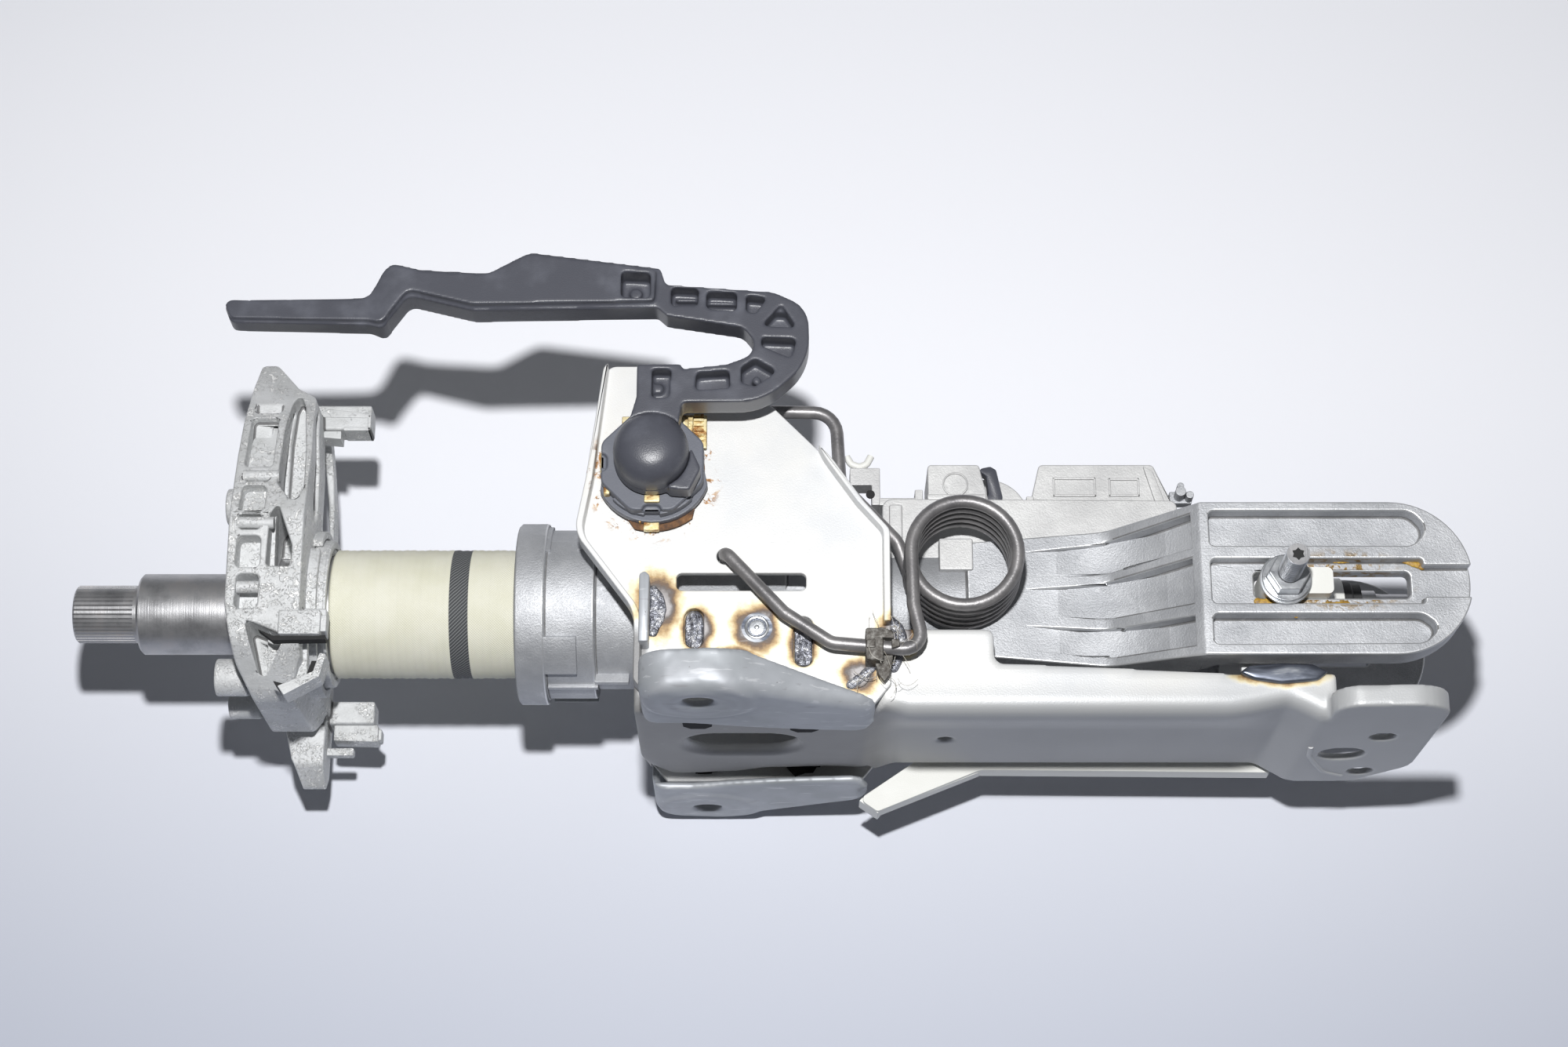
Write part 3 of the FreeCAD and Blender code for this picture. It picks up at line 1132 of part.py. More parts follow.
def lever_pieces():
    """The release lever, with its hub and dome, and the pockets that lighten its hook."""
    x, y = size.ClampX, size.ClampY
    unit = size.LeverReach / 158
    lever = new_body("lever_arm")
    plan = new_sketch(lever, "XY_Plane", "Sizes.LeverBase")
    add_outline(plan, scaled(LEVER_HOOK + [(2.5, 71.5, 2)] + LEVER_GRIP, unit, x, y))
    pad(lever, plan, "Sizes.LeverTop - Sizes.LeverBase")
    raised = new_sketch(lever, "XY_Plane", "Sizes.LeverTop - 1")
    add_outline(raised, scaled([(0.5, 57.4, 1.5), (1, 70.2, 1.5)]
                               + [(px, py - 1.5 if py > 60.6 else py + 1.5, r) for px, py, r in LEVER_GRIP],
                               unit, x, y))
    pad(lever, raised, "Sizes.LeverArmRise + 1")
    hub = new_sketch(lever, "XY_Plane", "Sizes.LeverBase")
    add_circle(hub, x, y, "Sizes.DomeRadius")
    pad(lever, hub, "Sizes.HubTop - Sizes.LeverBase")
    lug = new_sketch(lever, "XY_Plane", "Sizes.LeverBase")
    add_outline(lug, scaled([(6, -14, 1), (14, -14.5, 1), (18, -6, 1.5), (14.8, 1, 1), (10, 3)],
                            unit, x, y))
    pad(lever, lug, "Sizes.LeverTop - Sizes.LeverBase - 3")
    above = new_sketch(lever, "XY_Plane", "Sizes.LeverTop + Sizes.LeverArmRise + 1")
    add_circle(above, x, y, "Sizes.DomeRadius + Sizes.Clearance")
    pocket(lever, above, "Sizes.LeverTop + Sizes.LeverArmRise + 1 - Sizes.HubTop")
    holes = new_sketch(lever, "XY_Plane", "Sizes.LeverTop + Sizes.LeverArmRise + 1")
    for corners in LEVER_POCKETS:
        add_outline(holes, scaled(corners, unit, x, y))
    pocket(lever, holes, "Sizes.LeverTop + Sizes.LeverArmRise + 1 - Sizes.LeverBase - 4.5")
    bore = new_sketch(lever, "XY_Plane", "Sizes.DomeRim")
    add_circle(bore, x, y, "Sizes.ClampBoltRadius + Sizes.FitClearance")
    pocket(lever, bore, "Sizes.DomeRim - Sizes.LeverBase + 1")

    cap = new_body("dome_cap")
    round_plan = new_sketch(cap, "XY_Plane", "Sizes.HubTop")
    add_circle(round_plan, x, y, "Sizes.DomeRadius")
    block = pad(cap, round_plan, "Sizes.DomeTop - Sizes.HubTop")

    def rim(edge):
        return abs(edge.BoundBox.ZMin - size.DomeTop) < 1e-6

    def shoulder(edge):
        return abs(edge.BoundBox.ZLength) < 1e-6 and edge.BoundBox.ZMin > size.DomeRim

    sloped = chamfer(cap, block, "(Sizes.DomeTop - Sizes.DomeRim) * 0.62", rim)
    chamfer(cap, sloped, "(Sizes.DomeTop - Sizes.DomeRim) * 0.24", shoulder)
    room = new_sketch(cap, "XY_Plane", "Sizes.HubTop")
    add_circle(room, x, y, "Sizes.NutFlats / 2 + 2")
    pocket(cap, room, "Sizes.NutHeight", upward=True)


def wire_profile(start, ahead):
    """A flat-sided section of the spring wire, square to its path."""
    across = ahead.cross(V(0, 0, 1)) if abs(ahead.z) < 0.9 * ahead.Length else V(1, 0, 0)
    across = across.normalize() * size.WireRadius
    corners = []
    for side in range(WIRE_SIDES + 1):
        turn = FreeCAD.Rotation(ahead, 360.0 * side / WIRE_SIDES)
        corners.append(start + turn.multVec(across))
    return Part.makePolygon(corners)


def balance_spring():
    """A close-wound torsion spring, one leg hooked in the near plate and one under the column."""
    x, y, radius = size.CoilX, size.CoilY, size.CoilRadius
    top = size.CoilTopZ
    low = top - size.CoilPitch * size.CoilTurns
    left = x - radius
    path = arc_points([
        V(245.6, 6.5, plate_inner + 0.5), V(245.6, 6.5, top - 1.5), V(267, -17, top - 0.5),
        V(284, -28.6, top), V(left + 4.5, -31.5, top), V(left + 0.5, -14, top), V(left, y, top),
    ], 7.0)
    steps = int(COIL_STEPS * size.CoilTurns)
    for step in range(1, steps):
        angle = math.pi - 2 * math.pi * step / COIL_STEPS
        path.append(V(x + radius * math.cos(angle), y + radius * math.sin(angle),
                      top - size.CoilPitch * step / COIL_STEPS))
    path += arc_points([
        V(left, y, low), V(left - 4, y + 12, size.LowerLegZ), V(288, 41.5, size.LowerLegZ),
        V(286.5, 70, size.LowerLegZ), V(262, 70.5, size.LowerLegZ),
    ], 9.0)
    sweep = Part.Wire(Part.makePolygon(path).Edges)
    spring = doc.addObject("Part::Feature", "balance_spring")
    spring.Shape = sweep.makePipeShell([wire_profile(path[0], path[1] - path[0])], True, False, 1)
    return register(spring, "balance_spring")


def arc_points(points, radius):
    """Points along a path whose inner corners are rounded, as large as their runs allow."""
    path = [points[0]]
    for back_point, corner, next_point in zip(points, points[1:], points[2:]):
        back = back_point - corner
        ahead = next_point - corner
        half = back.getAngle(ahead) / 2
        reach = min(0.45 * back.Length, 0.45 * ahead.Length, radius / math.tan(half))
        bend = reach * math.tan(half)
        back.normalize()
        ahead.normalize()
        centre = corner + (back + ahead).normalize() * (bend / math.sin(half))
        start = corner + back * reach - centre
        axis = back.cross(ahead) * -1
        sweep = 180.0 - math.degrees(2 * half)
        steps = max(1, round(sweep / 18))
        for step in range(steps + 1):
            path.append(centre + FreeCAD.Rotation(axis, sweep * step / steps).multVec(start))
    path.append(points[-1])
    return path


def guide_strip():
    """The plastic strip along the far flange of the channel, with its drooping end."""
    body = new_body("guide_strip")
    line = new_sketch(body, "XY_Plane", "-Sizes.RailHalfWidth - Sizes.StripThickness")
    edge = web_outer - 2.5
    add_outline(line, [(323, -41.5, 3), (455, -44, 1), (455, edge, 1), (343, edge + 1, 10),
                       (303, -65, 2), (296, -60, 2)])
    pad(body, line, "Sizes.StripThickness")
    return body


def spring_clip():
    """The small clip that holds the spring's upper leg to the lip of the near plate."""
    body = new_body("spring_clip")
    block = new_sketch(body, "XY_Plane", "Sizes.RailHalfWidth + Sizes.SheetThickness")
    right = size.BracketStep - 0.5
    left = right - 2.6 * size.WireRadius
    low = SPRING_HOOK_Y - 2.5 * size.WireRadius
    high = SPRING_HOOK_Y + 2.4 * size.WireRadius
    add_outline(block, [(left, low, 1), (right, low, 1), (right, high, 1), (left, high, 1)])
    pad(body, block, "4 * Sizes.WireRadius")
    hole = new_sketch(body, "YZ_Plane", "Sizes.BracketStep + 3")
    add_circle(hole, SPRING_HOOK_Y, size.CoilTopZ, "Sizes.WireRadius + 2 * Sizes.Clearance")
    pocket(body, hole, "5 * Sizes.WireRadius")
    return body


rail_channel()
side_plate("side_plate_near", 1)
side_plate("side_plate_far", -1)
mount_ear("mount_ear_near", 1)
mount_ear("mount_ear_far", -1)
pivot_cradle()
two_sided("pivot_studs", "pivot_stud", stud)
two_sided("pivot_nuts", "pivot_nut", pivot_nut)
two_sided("pivot_washers", "pivot_washer", pivot_washer)
slider_block("slider_block_near", 1)
slider_block("slider_block_far", -1)
column_housing()
lock_housing()
lock_pieces()
switch_carrier()
jacket_pieces()
spindle_pieces()
clamp_pieces()
lever_pieces()
balance_spring()
guide_strip()
spring_clip()
doc.recompute()

failed = [item.Name for item in doc.Objects if "Invalid" in item.State or "Error" in item.State]
if failed:
    raise RuntimeError("These objects did not build: " + ", ".join(failed))
os.makedirs("parts", exist_ok=True)
for node in nodes:
    if node.Shape.isNull() or not node.Shape.isValid():
        raise RuntimeError(node.Label + " has no valid shape")
for node in nodes:
    node.Shape.exportStep("parts/" + node.Label + ".step")
print(len(nodes), "nodes written")
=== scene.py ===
"""Looks of an adjustable steering column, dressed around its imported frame.

Lengths are metres in the frame of the CAD: +X from the wheel end to the lower end, +Y from the
bracket's mounting face towards the column, +Z out of the side that carries the clamp lever.
"""
import json
import math
import random

import bmesh
import bpy
from mathutils import Matrix, Vector
from mathutils.bvhtree import BVHTree


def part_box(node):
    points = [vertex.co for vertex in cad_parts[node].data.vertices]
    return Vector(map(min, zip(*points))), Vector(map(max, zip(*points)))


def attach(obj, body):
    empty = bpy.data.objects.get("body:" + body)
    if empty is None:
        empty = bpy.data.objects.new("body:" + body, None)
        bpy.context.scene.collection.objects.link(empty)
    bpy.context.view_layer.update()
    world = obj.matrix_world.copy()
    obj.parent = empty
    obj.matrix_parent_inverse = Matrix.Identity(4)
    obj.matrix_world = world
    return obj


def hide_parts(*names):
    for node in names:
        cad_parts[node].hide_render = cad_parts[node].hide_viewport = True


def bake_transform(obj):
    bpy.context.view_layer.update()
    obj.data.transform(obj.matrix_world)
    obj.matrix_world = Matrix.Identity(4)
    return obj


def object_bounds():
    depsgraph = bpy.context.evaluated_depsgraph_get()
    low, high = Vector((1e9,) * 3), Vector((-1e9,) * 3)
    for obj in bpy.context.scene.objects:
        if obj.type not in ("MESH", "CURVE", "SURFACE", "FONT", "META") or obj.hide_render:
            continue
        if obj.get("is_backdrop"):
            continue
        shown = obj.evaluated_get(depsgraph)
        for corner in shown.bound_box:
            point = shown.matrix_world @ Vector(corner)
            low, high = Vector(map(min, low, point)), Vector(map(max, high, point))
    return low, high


bl_info = {
    "name": "Steering column looks",
    "version": (1, 0, 0),
    "blender": (4, 5, 0),
    "location": "View3D > Sidebar > Column",
    "description": "Dresses the packed steering column with finished surfaces and small parts",
    "category": "Object",
}

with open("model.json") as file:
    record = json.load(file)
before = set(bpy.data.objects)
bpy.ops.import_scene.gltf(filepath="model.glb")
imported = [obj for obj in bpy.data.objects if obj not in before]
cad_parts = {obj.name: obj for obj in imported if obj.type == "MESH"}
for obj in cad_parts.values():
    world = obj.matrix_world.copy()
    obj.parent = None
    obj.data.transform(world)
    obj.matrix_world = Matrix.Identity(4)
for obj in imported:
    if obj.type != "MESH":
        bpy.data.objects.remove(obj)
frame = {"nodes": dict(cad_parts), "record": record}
CAD_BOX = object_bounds()
MM = 0.001


def mm(*values):
    """A place given in millimetres."""
    return Vector(values) * MM


# Places that several pieces share, the same as in the CAD, in millimetres where not made by mm()
PLATE_FACE = 48.0
PIVOT = mm(448.7, -3.5, 0.0)
CLAMP = mm(219.0, 39.0, 0.0)
EAR_HOLE_X = 237.0
EAR_HOLE_Z = 73.0
PLUG_WELD = (257.2, -20.8)
SLOT_X, SLOT_STRAIGHT, SLOT_RADIUS = 251.5, 8.5, 12

# Where the lever's grip begins to thin, how long it is, and its axis
GRIP_ROOT, GRIP_LENGTH = 122, 58
GRIP_Y, GRIP_SEAT_Y, GRIP_Z = 93, 92.6, 73

# The sleeve's weave
WEAVE_PITCH = 0.0010
STRIPE_PITCH = 0.0014

# The stage: the camera, and each lamp's place, aim, width and power
CAMERA_PLACE = (0.267, -0.3533, 1.0713)
CAMERA_AIM = (0.267, 0.03663, 0.0)
CAMERA_LENS = 68.4
LAMPS = (("key", (0.24, -0.10, 1.15), (0.27, 0.02, 0), 0.045, 14.3),
         ("fill", (-0.6, 0.9, 0.9), (0.27, 0, 0), 0.9, 0.36),
         ("rim", (1.3, 0.2, 0.7), (0.27, 0, 0), 0.7, 0.3))
SURROUND_STRENGTH = 0.09
FLOOR_HALF = 3.0


# Shader maths

class Term:
    """A shader socket that takes part in plain arithmetic."""

    def __init__(self, paint, socket):
        self.paint = paint
        self.socket = socket

    def math(self, operation, first, second=0.0, clamp=False):
        settings = {"operation": operation, "use_clamp": clamp}
        return self.paint.node("ShaderNodeMath", settings, {0: first, 1: second})

    def __add__(self, other):
        return self.math("ADD", self, other)

    __radd__ = __add__

    def __sub__(self, other):
        return self.math("SUBTRACT", self, other)

    def __rsub__(self, other):
        return self.math("SUBTRACT", other, self)

    def __mul__(self, other):
        return self.math("MULTIPLY", self, other)

    def __truediv__(self, other):
        return self.math("DIVIDE", self, other)

    def clamped(self):
        return self.math("ADD", self, 0.0, clamp=True)

    def sine(self):
        return self.math("SINE", self)

    def larger(self, other):
        return self.math("MAXIMUM", self, other)

    def smaller(self, other):
        return self.math("MINIMUM", self, other)

    def step(self, low, high):
        """0 below low and 1 above high, smooth between them."""
        settings = {"interpolation_type": "SMOOTHSTEP"}
        inputs = {"Value": self, "From Min": low, "From Max": high}
        return self.paint.node("ShaderNodeMapRange", settings, inputs)


class Paint:
    """One material's node tree, which ends in a Principled shader."""

    def __init__(self, name, metallic=0.0, roughness=0.5):
        self.material = bpy.data.materials.new(name)
        self.material.use_nodes = True
        self.tree = self.material.node_tree
        self.tree.nodes.clear()
        output = self.tree.nodes.new("ShaderNodeOutputMaterial")
        self.shader = self.tree.nodes.new("ShaderNodeBsdfPrincipled")
        self.tree.links.new(self.shader.outputs[0], output.inputs["Surface"])
        self.shader.inputs["Metallic"].default_value = metallic
        self.shader.inputs["Roughness"].default_value = roughness
        self.place = Term(self, self.tree.nodes.new("ShaderNodeTexCoord").outputs["Object"])

    def node(self, kind, settings=None, inputs=None, output=0):
        """Any node: its settings first, then the values or links of its sockets."""
        made = self.tree.nodes.new(kind)
        for name, value in (settings or {}).items():
            if name == "stops":
                self.set_stops(made.color_ramp, value)
            else:
                setattr(made, name, value)
        for name, value in (inputs or {}).items():
            self.feed(made.inputs[name], value)
        return Term(self, made.outputs[output])

    def set_stops(self, ramp, stops):
        while len(ramp.elements) < len(stops):
            ramp.elements.new(0.5)
        for element, (position, color) in zip(ramp.elements, stops):
            element.position = position
            element.color = (*color, 1.0)

    def feed(self, socket, value):
        if isinstance(value, Term):
            self.tree.links.new(value.socket, socket)
        elif isinstance(value, tuple) and socket.type == "RGBA":
            socket.default_value = (*value, 1.0)
        else:
            socket.default_value = value

    def noise(self, size, detail=3.0, roughness=0.55, distortion=0.0, stretch=None):
        """Noise from 0 to 1 whose blots are about this size in metres."""
        inputs = {"Vector": self.stretched(stretch), "Scale": 1.0 / size, "Detail": detail,
                  "Roughness": roughness, "Distortion": distortion}
        return self.node("ShaderNodeTexNoise", {}, inputs)

    def stretched(self, factors):
        if factors is None:
            return self.place
        return self.node("ShaderNodeVectorMath", {"operation": "MULTIPLY"},
                         {0: self.place, 1: factors})

    def axis(self, name):
        return self.node("ShaderNodeSeparateXYZ", {}, {0: self.place}, output="XYZ".index(name))

    def distance(self, point, factors=(1, 1, 1)):
        """Distance from a point, with each axis weighted."""
        offset = self.node("ShaderNodeVectorMath", {"operation": "SUBTRACT"},
                           {0: self.place, 1: point})
        scaled = self.node("ShaderNodeVectorMath", {"operation": "MULTIPLY"}, {0: offset, 1: factors})
        return self.node("ShaderNodeVectorMath", {"operation": "LENGTH"}, {0: scaled}, output=1)

    def mix(self, first, second, factor):
        """Blends two colours by a factor from 0 to 1."""
        settings = {"data_type": "RGBA"}
        return self.node("ShaderNodeMix", settings, {0: factor, 6: first, 7: second}, output=2)

    def ramp(self, value, stops):
        return self.node("ShaderNodeValToRGB", {"stops": stops}, {"Fac": value})

    def bump(self, height, depth, below=None):
        """A Bump node for a height of 0 to 1 that stands for a depth in metres."""
        inputs = {"Height": height, "Distance": depth, "Strength": 1.0}
        if below:
            inputs["Normal"] = below
        return self.node("ShaderNodeBump", {}, inputs)

    def finish(self, color, roughness=None, normal=None):
        """Feeds the shader with what is given and returns the material."""
        for name, value in (("Base Color", color), ("Roughness", roughness), ("Normal", normal)):
            if value is not None:
                self.feed(self.shader.inputs[name], value)
        return self.material


def heat_tint(paint, color, spots):
    """Heat colours round the welds: grey, dark brown, amber and straw, then the sheet's own."""
    ragged = paint.noise(0.008, detail=4.0, roughness=0.55)
    field = None
    for point, size, factors in spots:
        reach = paint.distance(mm(*point), factors) / (size * MM) + (ragged - 0.5) * 0.75
        field = reach if field is None else field.smaller(reach)
    tint = paint.ramp(field, [(0.30, (0.42, 0.40, 0.40)), (0.44, (0.13, 0.11, 0.10)),
                              (0.54, (0.16, 0.10, 0.06)), (0.64, (0.46, 0.31, 0.15)),
                              (0.78, (0.80, 0.70, 0.46)), (0.95, (0.90, 0.88, 0.78))])
    return paint.mix(color, tint, 1 - field.step(0.74, 1.0))


def rust_ring(paint, color, centre, inner, outer):
    """Patchy rust in a ring round a point."""
    reach = paint.distance(mm(*centre))
    band = reach.step((inner - 2) * MM, inner * MM) * (1 - reach.step(outer * MM, (outer + 4) * MM))
    blotch = paint.noise(0.007, detail=7.0, roughness=0.72, distortion=0.5)
    shade = paint.ramp(paint.noise(0.003, detail=5.0), [(0.38, (0.17, 0.08, 0.03)),
                                                        (0.56, (0.46, 0.22, 0.06)),
                                                        (0.70, (0.66, 0.46, 0.20))])
    return paint.mix(color, shade, band * blotch.step(0.54, 0.60))


# Materials

def pressed_steel():
    """White plated sheet: pale and satin, with heat tint round the welds and rust at the clamp."""
    paint = Paint("plated_steel", metallic=0.15)
    cloud = paint.noise(0.03, detail=4.0)
    base = paint.ramp(cloud, [(0.35, (0.70, 0.71, 0.72)), (0.52, (0.75, 0.75, 0.74)),
                              (0.7, (0.74, 0.73, 0.70))])
    drawn = paint.noise(0.0012, detail=2.0, stretch=(1.0, 0.08, 0.08))
    base = paint.mix(base, (0.76, 0.77, 0.78), (drawn - 0.45).clamped() * 0.4)
    # painted shade: the channel's drawn sides are darker the more they face away from the light, less so
    # on the wing, and the foot of the lip is darker too
    bare = paint.node("ShaderNodeAttribute", {"attribute_name": "bare"}, {}, output=2)
    foot = (1 - paint.axis("X").step(0.2165, 0.2190)) * (1 - paint.axis("Y").step(-0.027, -0.020))
    bare = bare.larger(foot)
    wing = paint.axis("X").step(0.452, 0.472)
    base = paint.mix(base, (0.20, 0.198, 0.20), bare * (0.84 + cloud * 0.12 - wing * 0.22))
    # painted shade: from X 300 mm on, the sheet is darker towards the bend into the channel's drawn side
    bend_shade = (1 - paint.axis("Y").step(-0.049, -0.036)) * paint.axis("X").step(0.300, 0.312)
    base = paint.mix(base, (0.44, 0.45, 0.46), bend_shade * 0.8)
    face = PLATE_FACE
    base = heat_tint(paint, base, [
        ((*PLUG_WELD, face), 12.5, (1, 1, 1)), ((235.5, -21.5, face), 9.5, (1.1, 0.75, 1)),
        ((221.0, -12.5, face), 12.5, (1, 0.72, 1)), ((273.5, -27.0, face), 8.0, (1, 0.7, 1)),
        ((294.5, -39.0, 47.0), 9.5, (1, 1, 1)), ((307.5, -22.5, 47.0), 10.5, (1, 0.8, 1)),
        ((446.5, -37.6, 45.0), 9.0, (0.42, 1.6, 1)), ((249.0, -33.0, face), 8.0, (0.6, 1.1, 1))])
    base = rust_ring(paint, base, (219.0, 37.0, face), 19.0, 22.5)
    grime = paint.noise(0.011, detail=7.0, roughness=0.75, distortion=0.4)
    base = paint.mix(base, (0.52, 0.46, 0.36), grime.step(0.66, 0.78) * 0.3)
    scratch = paint.noise(0.0011, detail=3.0, stretch=(0.12, 1.0, 0.6), distortion=0.2)
    base = paint.mix(base, (0.55, 0.56, 0.58), scratch.step(0.70, 0.75) * 0.35)
    grain = paint.noise(0.0006, detail=2.0)
    soft = paint.noise(0.02, detail=2.0)
    rough = 0.34 + cloud * 0.12 + grain * 0.05
    normal = paint.bump(grain * 0.25 + soft * 0.75, 0.00018)
    return paint.finish(base, rough, normal=normal)


def bare_sheet():
    """The ears' blue-grey sheet, drawn in rings round the holes and scuffed on its rims."""
    paint = Paint("grey_sheet", metallic=0.3)
    cloud = paint.noise(0.024, detail=3.0)
    base = paint.ramp(cloud, [(0.3, (0.35, 0.37, 0.39)), (0.55, (0.45, 0.47, 0.50)),
                              (0.75, (0.53, 0.55, 0.58))])
    holes = [paint.distance(mm(EAR_HOLE_X, -56.0, z)) for z in (EAR_HOLE_Z, -EAR_HOLE_Z)]
    hole = holes[0].smaller(holes[1])
    wave = paint.noise(0.02, detail=2.0)
    rings = (hole * 900.0 + wave * 9.0).sine() * 0.5 + 0.5
    near = 1 - hole.step(0.018, 0.028)
    base = paint.mix(base, (0.44, 0.45, 0.48), rings * near * 0.45)
    streak = paint.noise(0.0018, detail=4.0, stretch=(0.12, 1.0, 0.5), distortion=0.3)
    base = paint.mix(base, (0.33, 0.33, 0.35), streak.step(0.62, 0.70) * 0.5)
    base = paint.mix(base, (0.80, 0.81, 0.83), streak.step(0.40, 0.32) * 0.35)
    specks = paint.noise(0.0028, detail=4.0, roughness=0.6)
    base = paint.mix(base, (0.17, 0.16, 0.15), specks.step(0.71, 0.75) * 0.7)
    rough = 0.42 + cloud * 0.14 + rings * near * 0.05
    normal = paint.bump(rings * near, 0.0003, paint.bump(cloud, 0.0006))
    return paint.finish(base, rough, normal=normal)


def cast_metal(name, dark, light, bloom, metallic, grain_depth):
    """Die cast alloy: grainy, clouded, with a dusty bloom in patches."""
    paint = Paint(name, metallic=metallic)
    cloud = paint.noise(0.022, detail=5.0, roughness=0.6)
    fine = paint.noise(0.0007, detail=3.0, roughness=0.7)
    base = paint.ramp(cloud, [(0.32, dark), (0.66, light)])
    base = paint.mix(base, dark, (fine - 0.5).clamped() * 1.9)
    patches = paint.noise(0.009, detail=6.0, roughness=0.75, distortion=0.6)
    base = paint.mix(base, bloom, patches.step(0.55, 0.72) * 0.65)
    rough = 0.42 + fine * 0.16 + patches * 0.08
    normal = paint.bump(fine, grain_depth, paint.bump(cloud, 0.0004))
    return paint, base, rough, normal


def column_cast():
    paint, base, rough, normal = cast_metal(
        "column_casting", (0.38, 0.39, 0.41), (0.56, 0.57, 0.59), (0.65, 0.66, 0.68), 0.55, 0.0002)
    slot = paint.distance((0.470, -0.0035, 0.050), (0.45, 1.0, 0.5))
    ragged = paint.noise(0.005, detail=5.0, distortion=1.0)
    greased = (1 - slot.step(0.0075, 0.0135)) * ragged.step(0.46, 0.55)
    base = paint.mix(base, (0.22, 0.13, 0.02), greased * 0.95)
    return paint.finish(base, rough - greased * 0.2, normal=normal)


def plain_cast(*look, rougher=0.0):
    paint, base, rough, normal = cast_metal(*look)
    return paint.finish(base, rough + rougher, normal=normal)


def carrier_cast():
    paint, base, rough, normal = cast_metal(
        "carrier_casting", (0.53, 0.54, 0.54), (0.72, 0.73, 0.74), (0.82, 0.82, 0.82), 0.3, 0.0002)
    patch = paint.noise(0.013, detail=3.0).step(0.38, 0.56)
    flake = paint.noise(0.0024, detail=6.0, roughness=0.72, distortion=1.4).step(0.53, 0.575)
    base = paint.mix(base, (0.97, 0.97, 0.96), flake * patch)
    pit = paint.noise(0.0045, detail=5.0, distortion=0.8).step(0.66, 0.72)
    base = paint.mix(base, (0.26, 0.26, 0.27), pit * 0.6)
    return paint.finish(base, rough + 0.1, normal=paint.bump(flake * patch, 0.00025, normal))


def turned_steel():
    """Machined steel with fine rings round the spindle's axis and a film of old oil."""
    paint = Paint("turned_steel", metallic=0.8)
    light = (0.56, 0.56, 0.57)
    rings = paint.noise(0.0006, detail=2.0, stretch=(1.0, 0.02, 0.02))
    cloud = paint.noise(0.012, detail=5.0, roughness=0.65)
    base = paint.ramp(cloud, [(0.3, (0.30, 0.30, 0.31)), (0.68, light)])
    base = paint.mix(base, (0.30, 0.24, 0.20), cloud.step(0.5, 0.75) * 0.3)
    fine = paint.noise(0.0004, detail=2.0)
    base = paint.mix(base, light, (fine - 0.55).clamped() * 1.5)
    rough = 0.32 + cloud * 0.14
    normal = paint.bump(rings * 0.6 + fine * 0.4, 0.00006)
    return paint.finish(base, rough, normal=normal)


def woven_tape():
    """Cream sleeve of plain weave, with one dark woven stripe round it."""
    paint = Paint("woven_tape", roughness=0.75)
    around = paint.node("ShaderNodeUVMap", {"uv_map": "Wrap"}, {})
    parts = [paint.node("ShaderNodeSeparateXYZ", {}, {0: around}, output=i) for i in (0, 1)]
    warp, weft = ((part * (2 * math.pi / WEAVE_PITCH)).sine() for part in parts)
    weave = warp * weft * 0.5 + 0.5
    cloud = paint.noise(0.014, detail=4.0)
    base = paint.ramp(cloud, [(0.3, (0.69, 0.68, 0.55)), (0.7, (0.77, 0.76, 0.66))])
    base = paint.mix(base, (0.70, 0.68, 0.50), weave.step(0.55, 0.1) * 0.45)
    stripe = parts[0].step(0.1425, 0.1429) * (1 - parts[0].step(0.1496, 0.1500))
    thread = ((parts[0] + parts[1]) * (2 * math.pi / STRIPE_PITCH)).sine().step(0.25, 0.8)
    dark = paint.mix((0.055, 0.058, 0.062), (0.34, 0.35, 0.35), thread * 0.5)
    base = paint.mix(base, dark, stripe)
    return paint.finish(base, 0.70 + weave * 0.12, normal=paint.bump(weave, 0.00013))


def moulded(name, color, light, roughness, scuffed=0.3):
    """Moulded plastic with a fine grain and pale scuffs."""
    paint = Paint(name, roughness=roughness)
    fine = paint.noise(0.0005, detail=2.0)
    cloud = paint.noise(0.015, detail=4.0)
    base = paint.mix(color, light, cloud.step(0.45, 0.8) * 0.5)
    scuff = paint.noise(0.0035, detail=7.0, roughness=0.8, distortion=0.4)
    base = paint.mix(base, tuple(min(1.0, 0.35 + c) for c in light), scuff.step(0.66, 0.74) * scuffed)
    return paint.finish(base, roughness + cloud * 0.08 + fine * 0.05, normal=paint.bump(fine, 0.00006))


def spring_wire():
    paint = Paint("spring_wire", metallic=0.55)
    fine = paint.noise(0.0008, detail=3.0)
    cloud = paint.noise(0.01, detail=4.0)
    base = paint.ramp(cloud, [(0.35, (0.19, 0.185, 0.19)), (0.7, (0.32, 0.31, 0.31))])
    base = paint.mix(base, (0.42, 0.40, 0.39), (fine - 0.55).clamped() * 1.6)
    return paint.finish(base, 0.36 + cloud * 0.12, normal=paint.bump(fine, 0.00007))


def plated_hardware():
    paint = Paint("zinc_hardware", metallic=0.85)
    cloud = paint.noise(0.005, detail=4.0)
    base = paint.ramp(cloud, [(0.3, (0.52, 0.54, 0.57)), (0.65, (0.80, 0.82, 0.84))])
    return paint.finish(base, 0.22 + cloud * 0.15, normal=paint.bump(paint.noise(0.0007), 0.00004))


def clouded(name, noise, stops, rough, gain, depth, metallic=0.0):
    """A finish whose colour, roughness and relief all come from one noise."""
    paint = Paint(name, metallic=metallic)
    cloud = paint.noise(*noise)
    return paint.finish(paint.ramp(cloud, stops), rough + cloud * gain, normal=paint.bump(cloud, depth))


def weld_metal():
    """Weld bead: blue-grey scale with bright crests."""
    paint = Paint("weld_metal", metallic=0.7)
    cloud = paint.noise(0.0025, detail=5.0, roughness=0.7)
    base = paint.ramp(cloud, [(0.32, (0.10, 0.10, 0.12)), (0.50, (0.28, 0.29, 0.33)),
                              (0.66, (0.62, 0.62, 0.63))])
    wrinkle = paint.noise(0.0016, detail=3.0, distortion=1.6)
    return paint.finish(base, 0.24 + cloud * 0.3, normal=paint.bump(wrinkle, 0.0006))


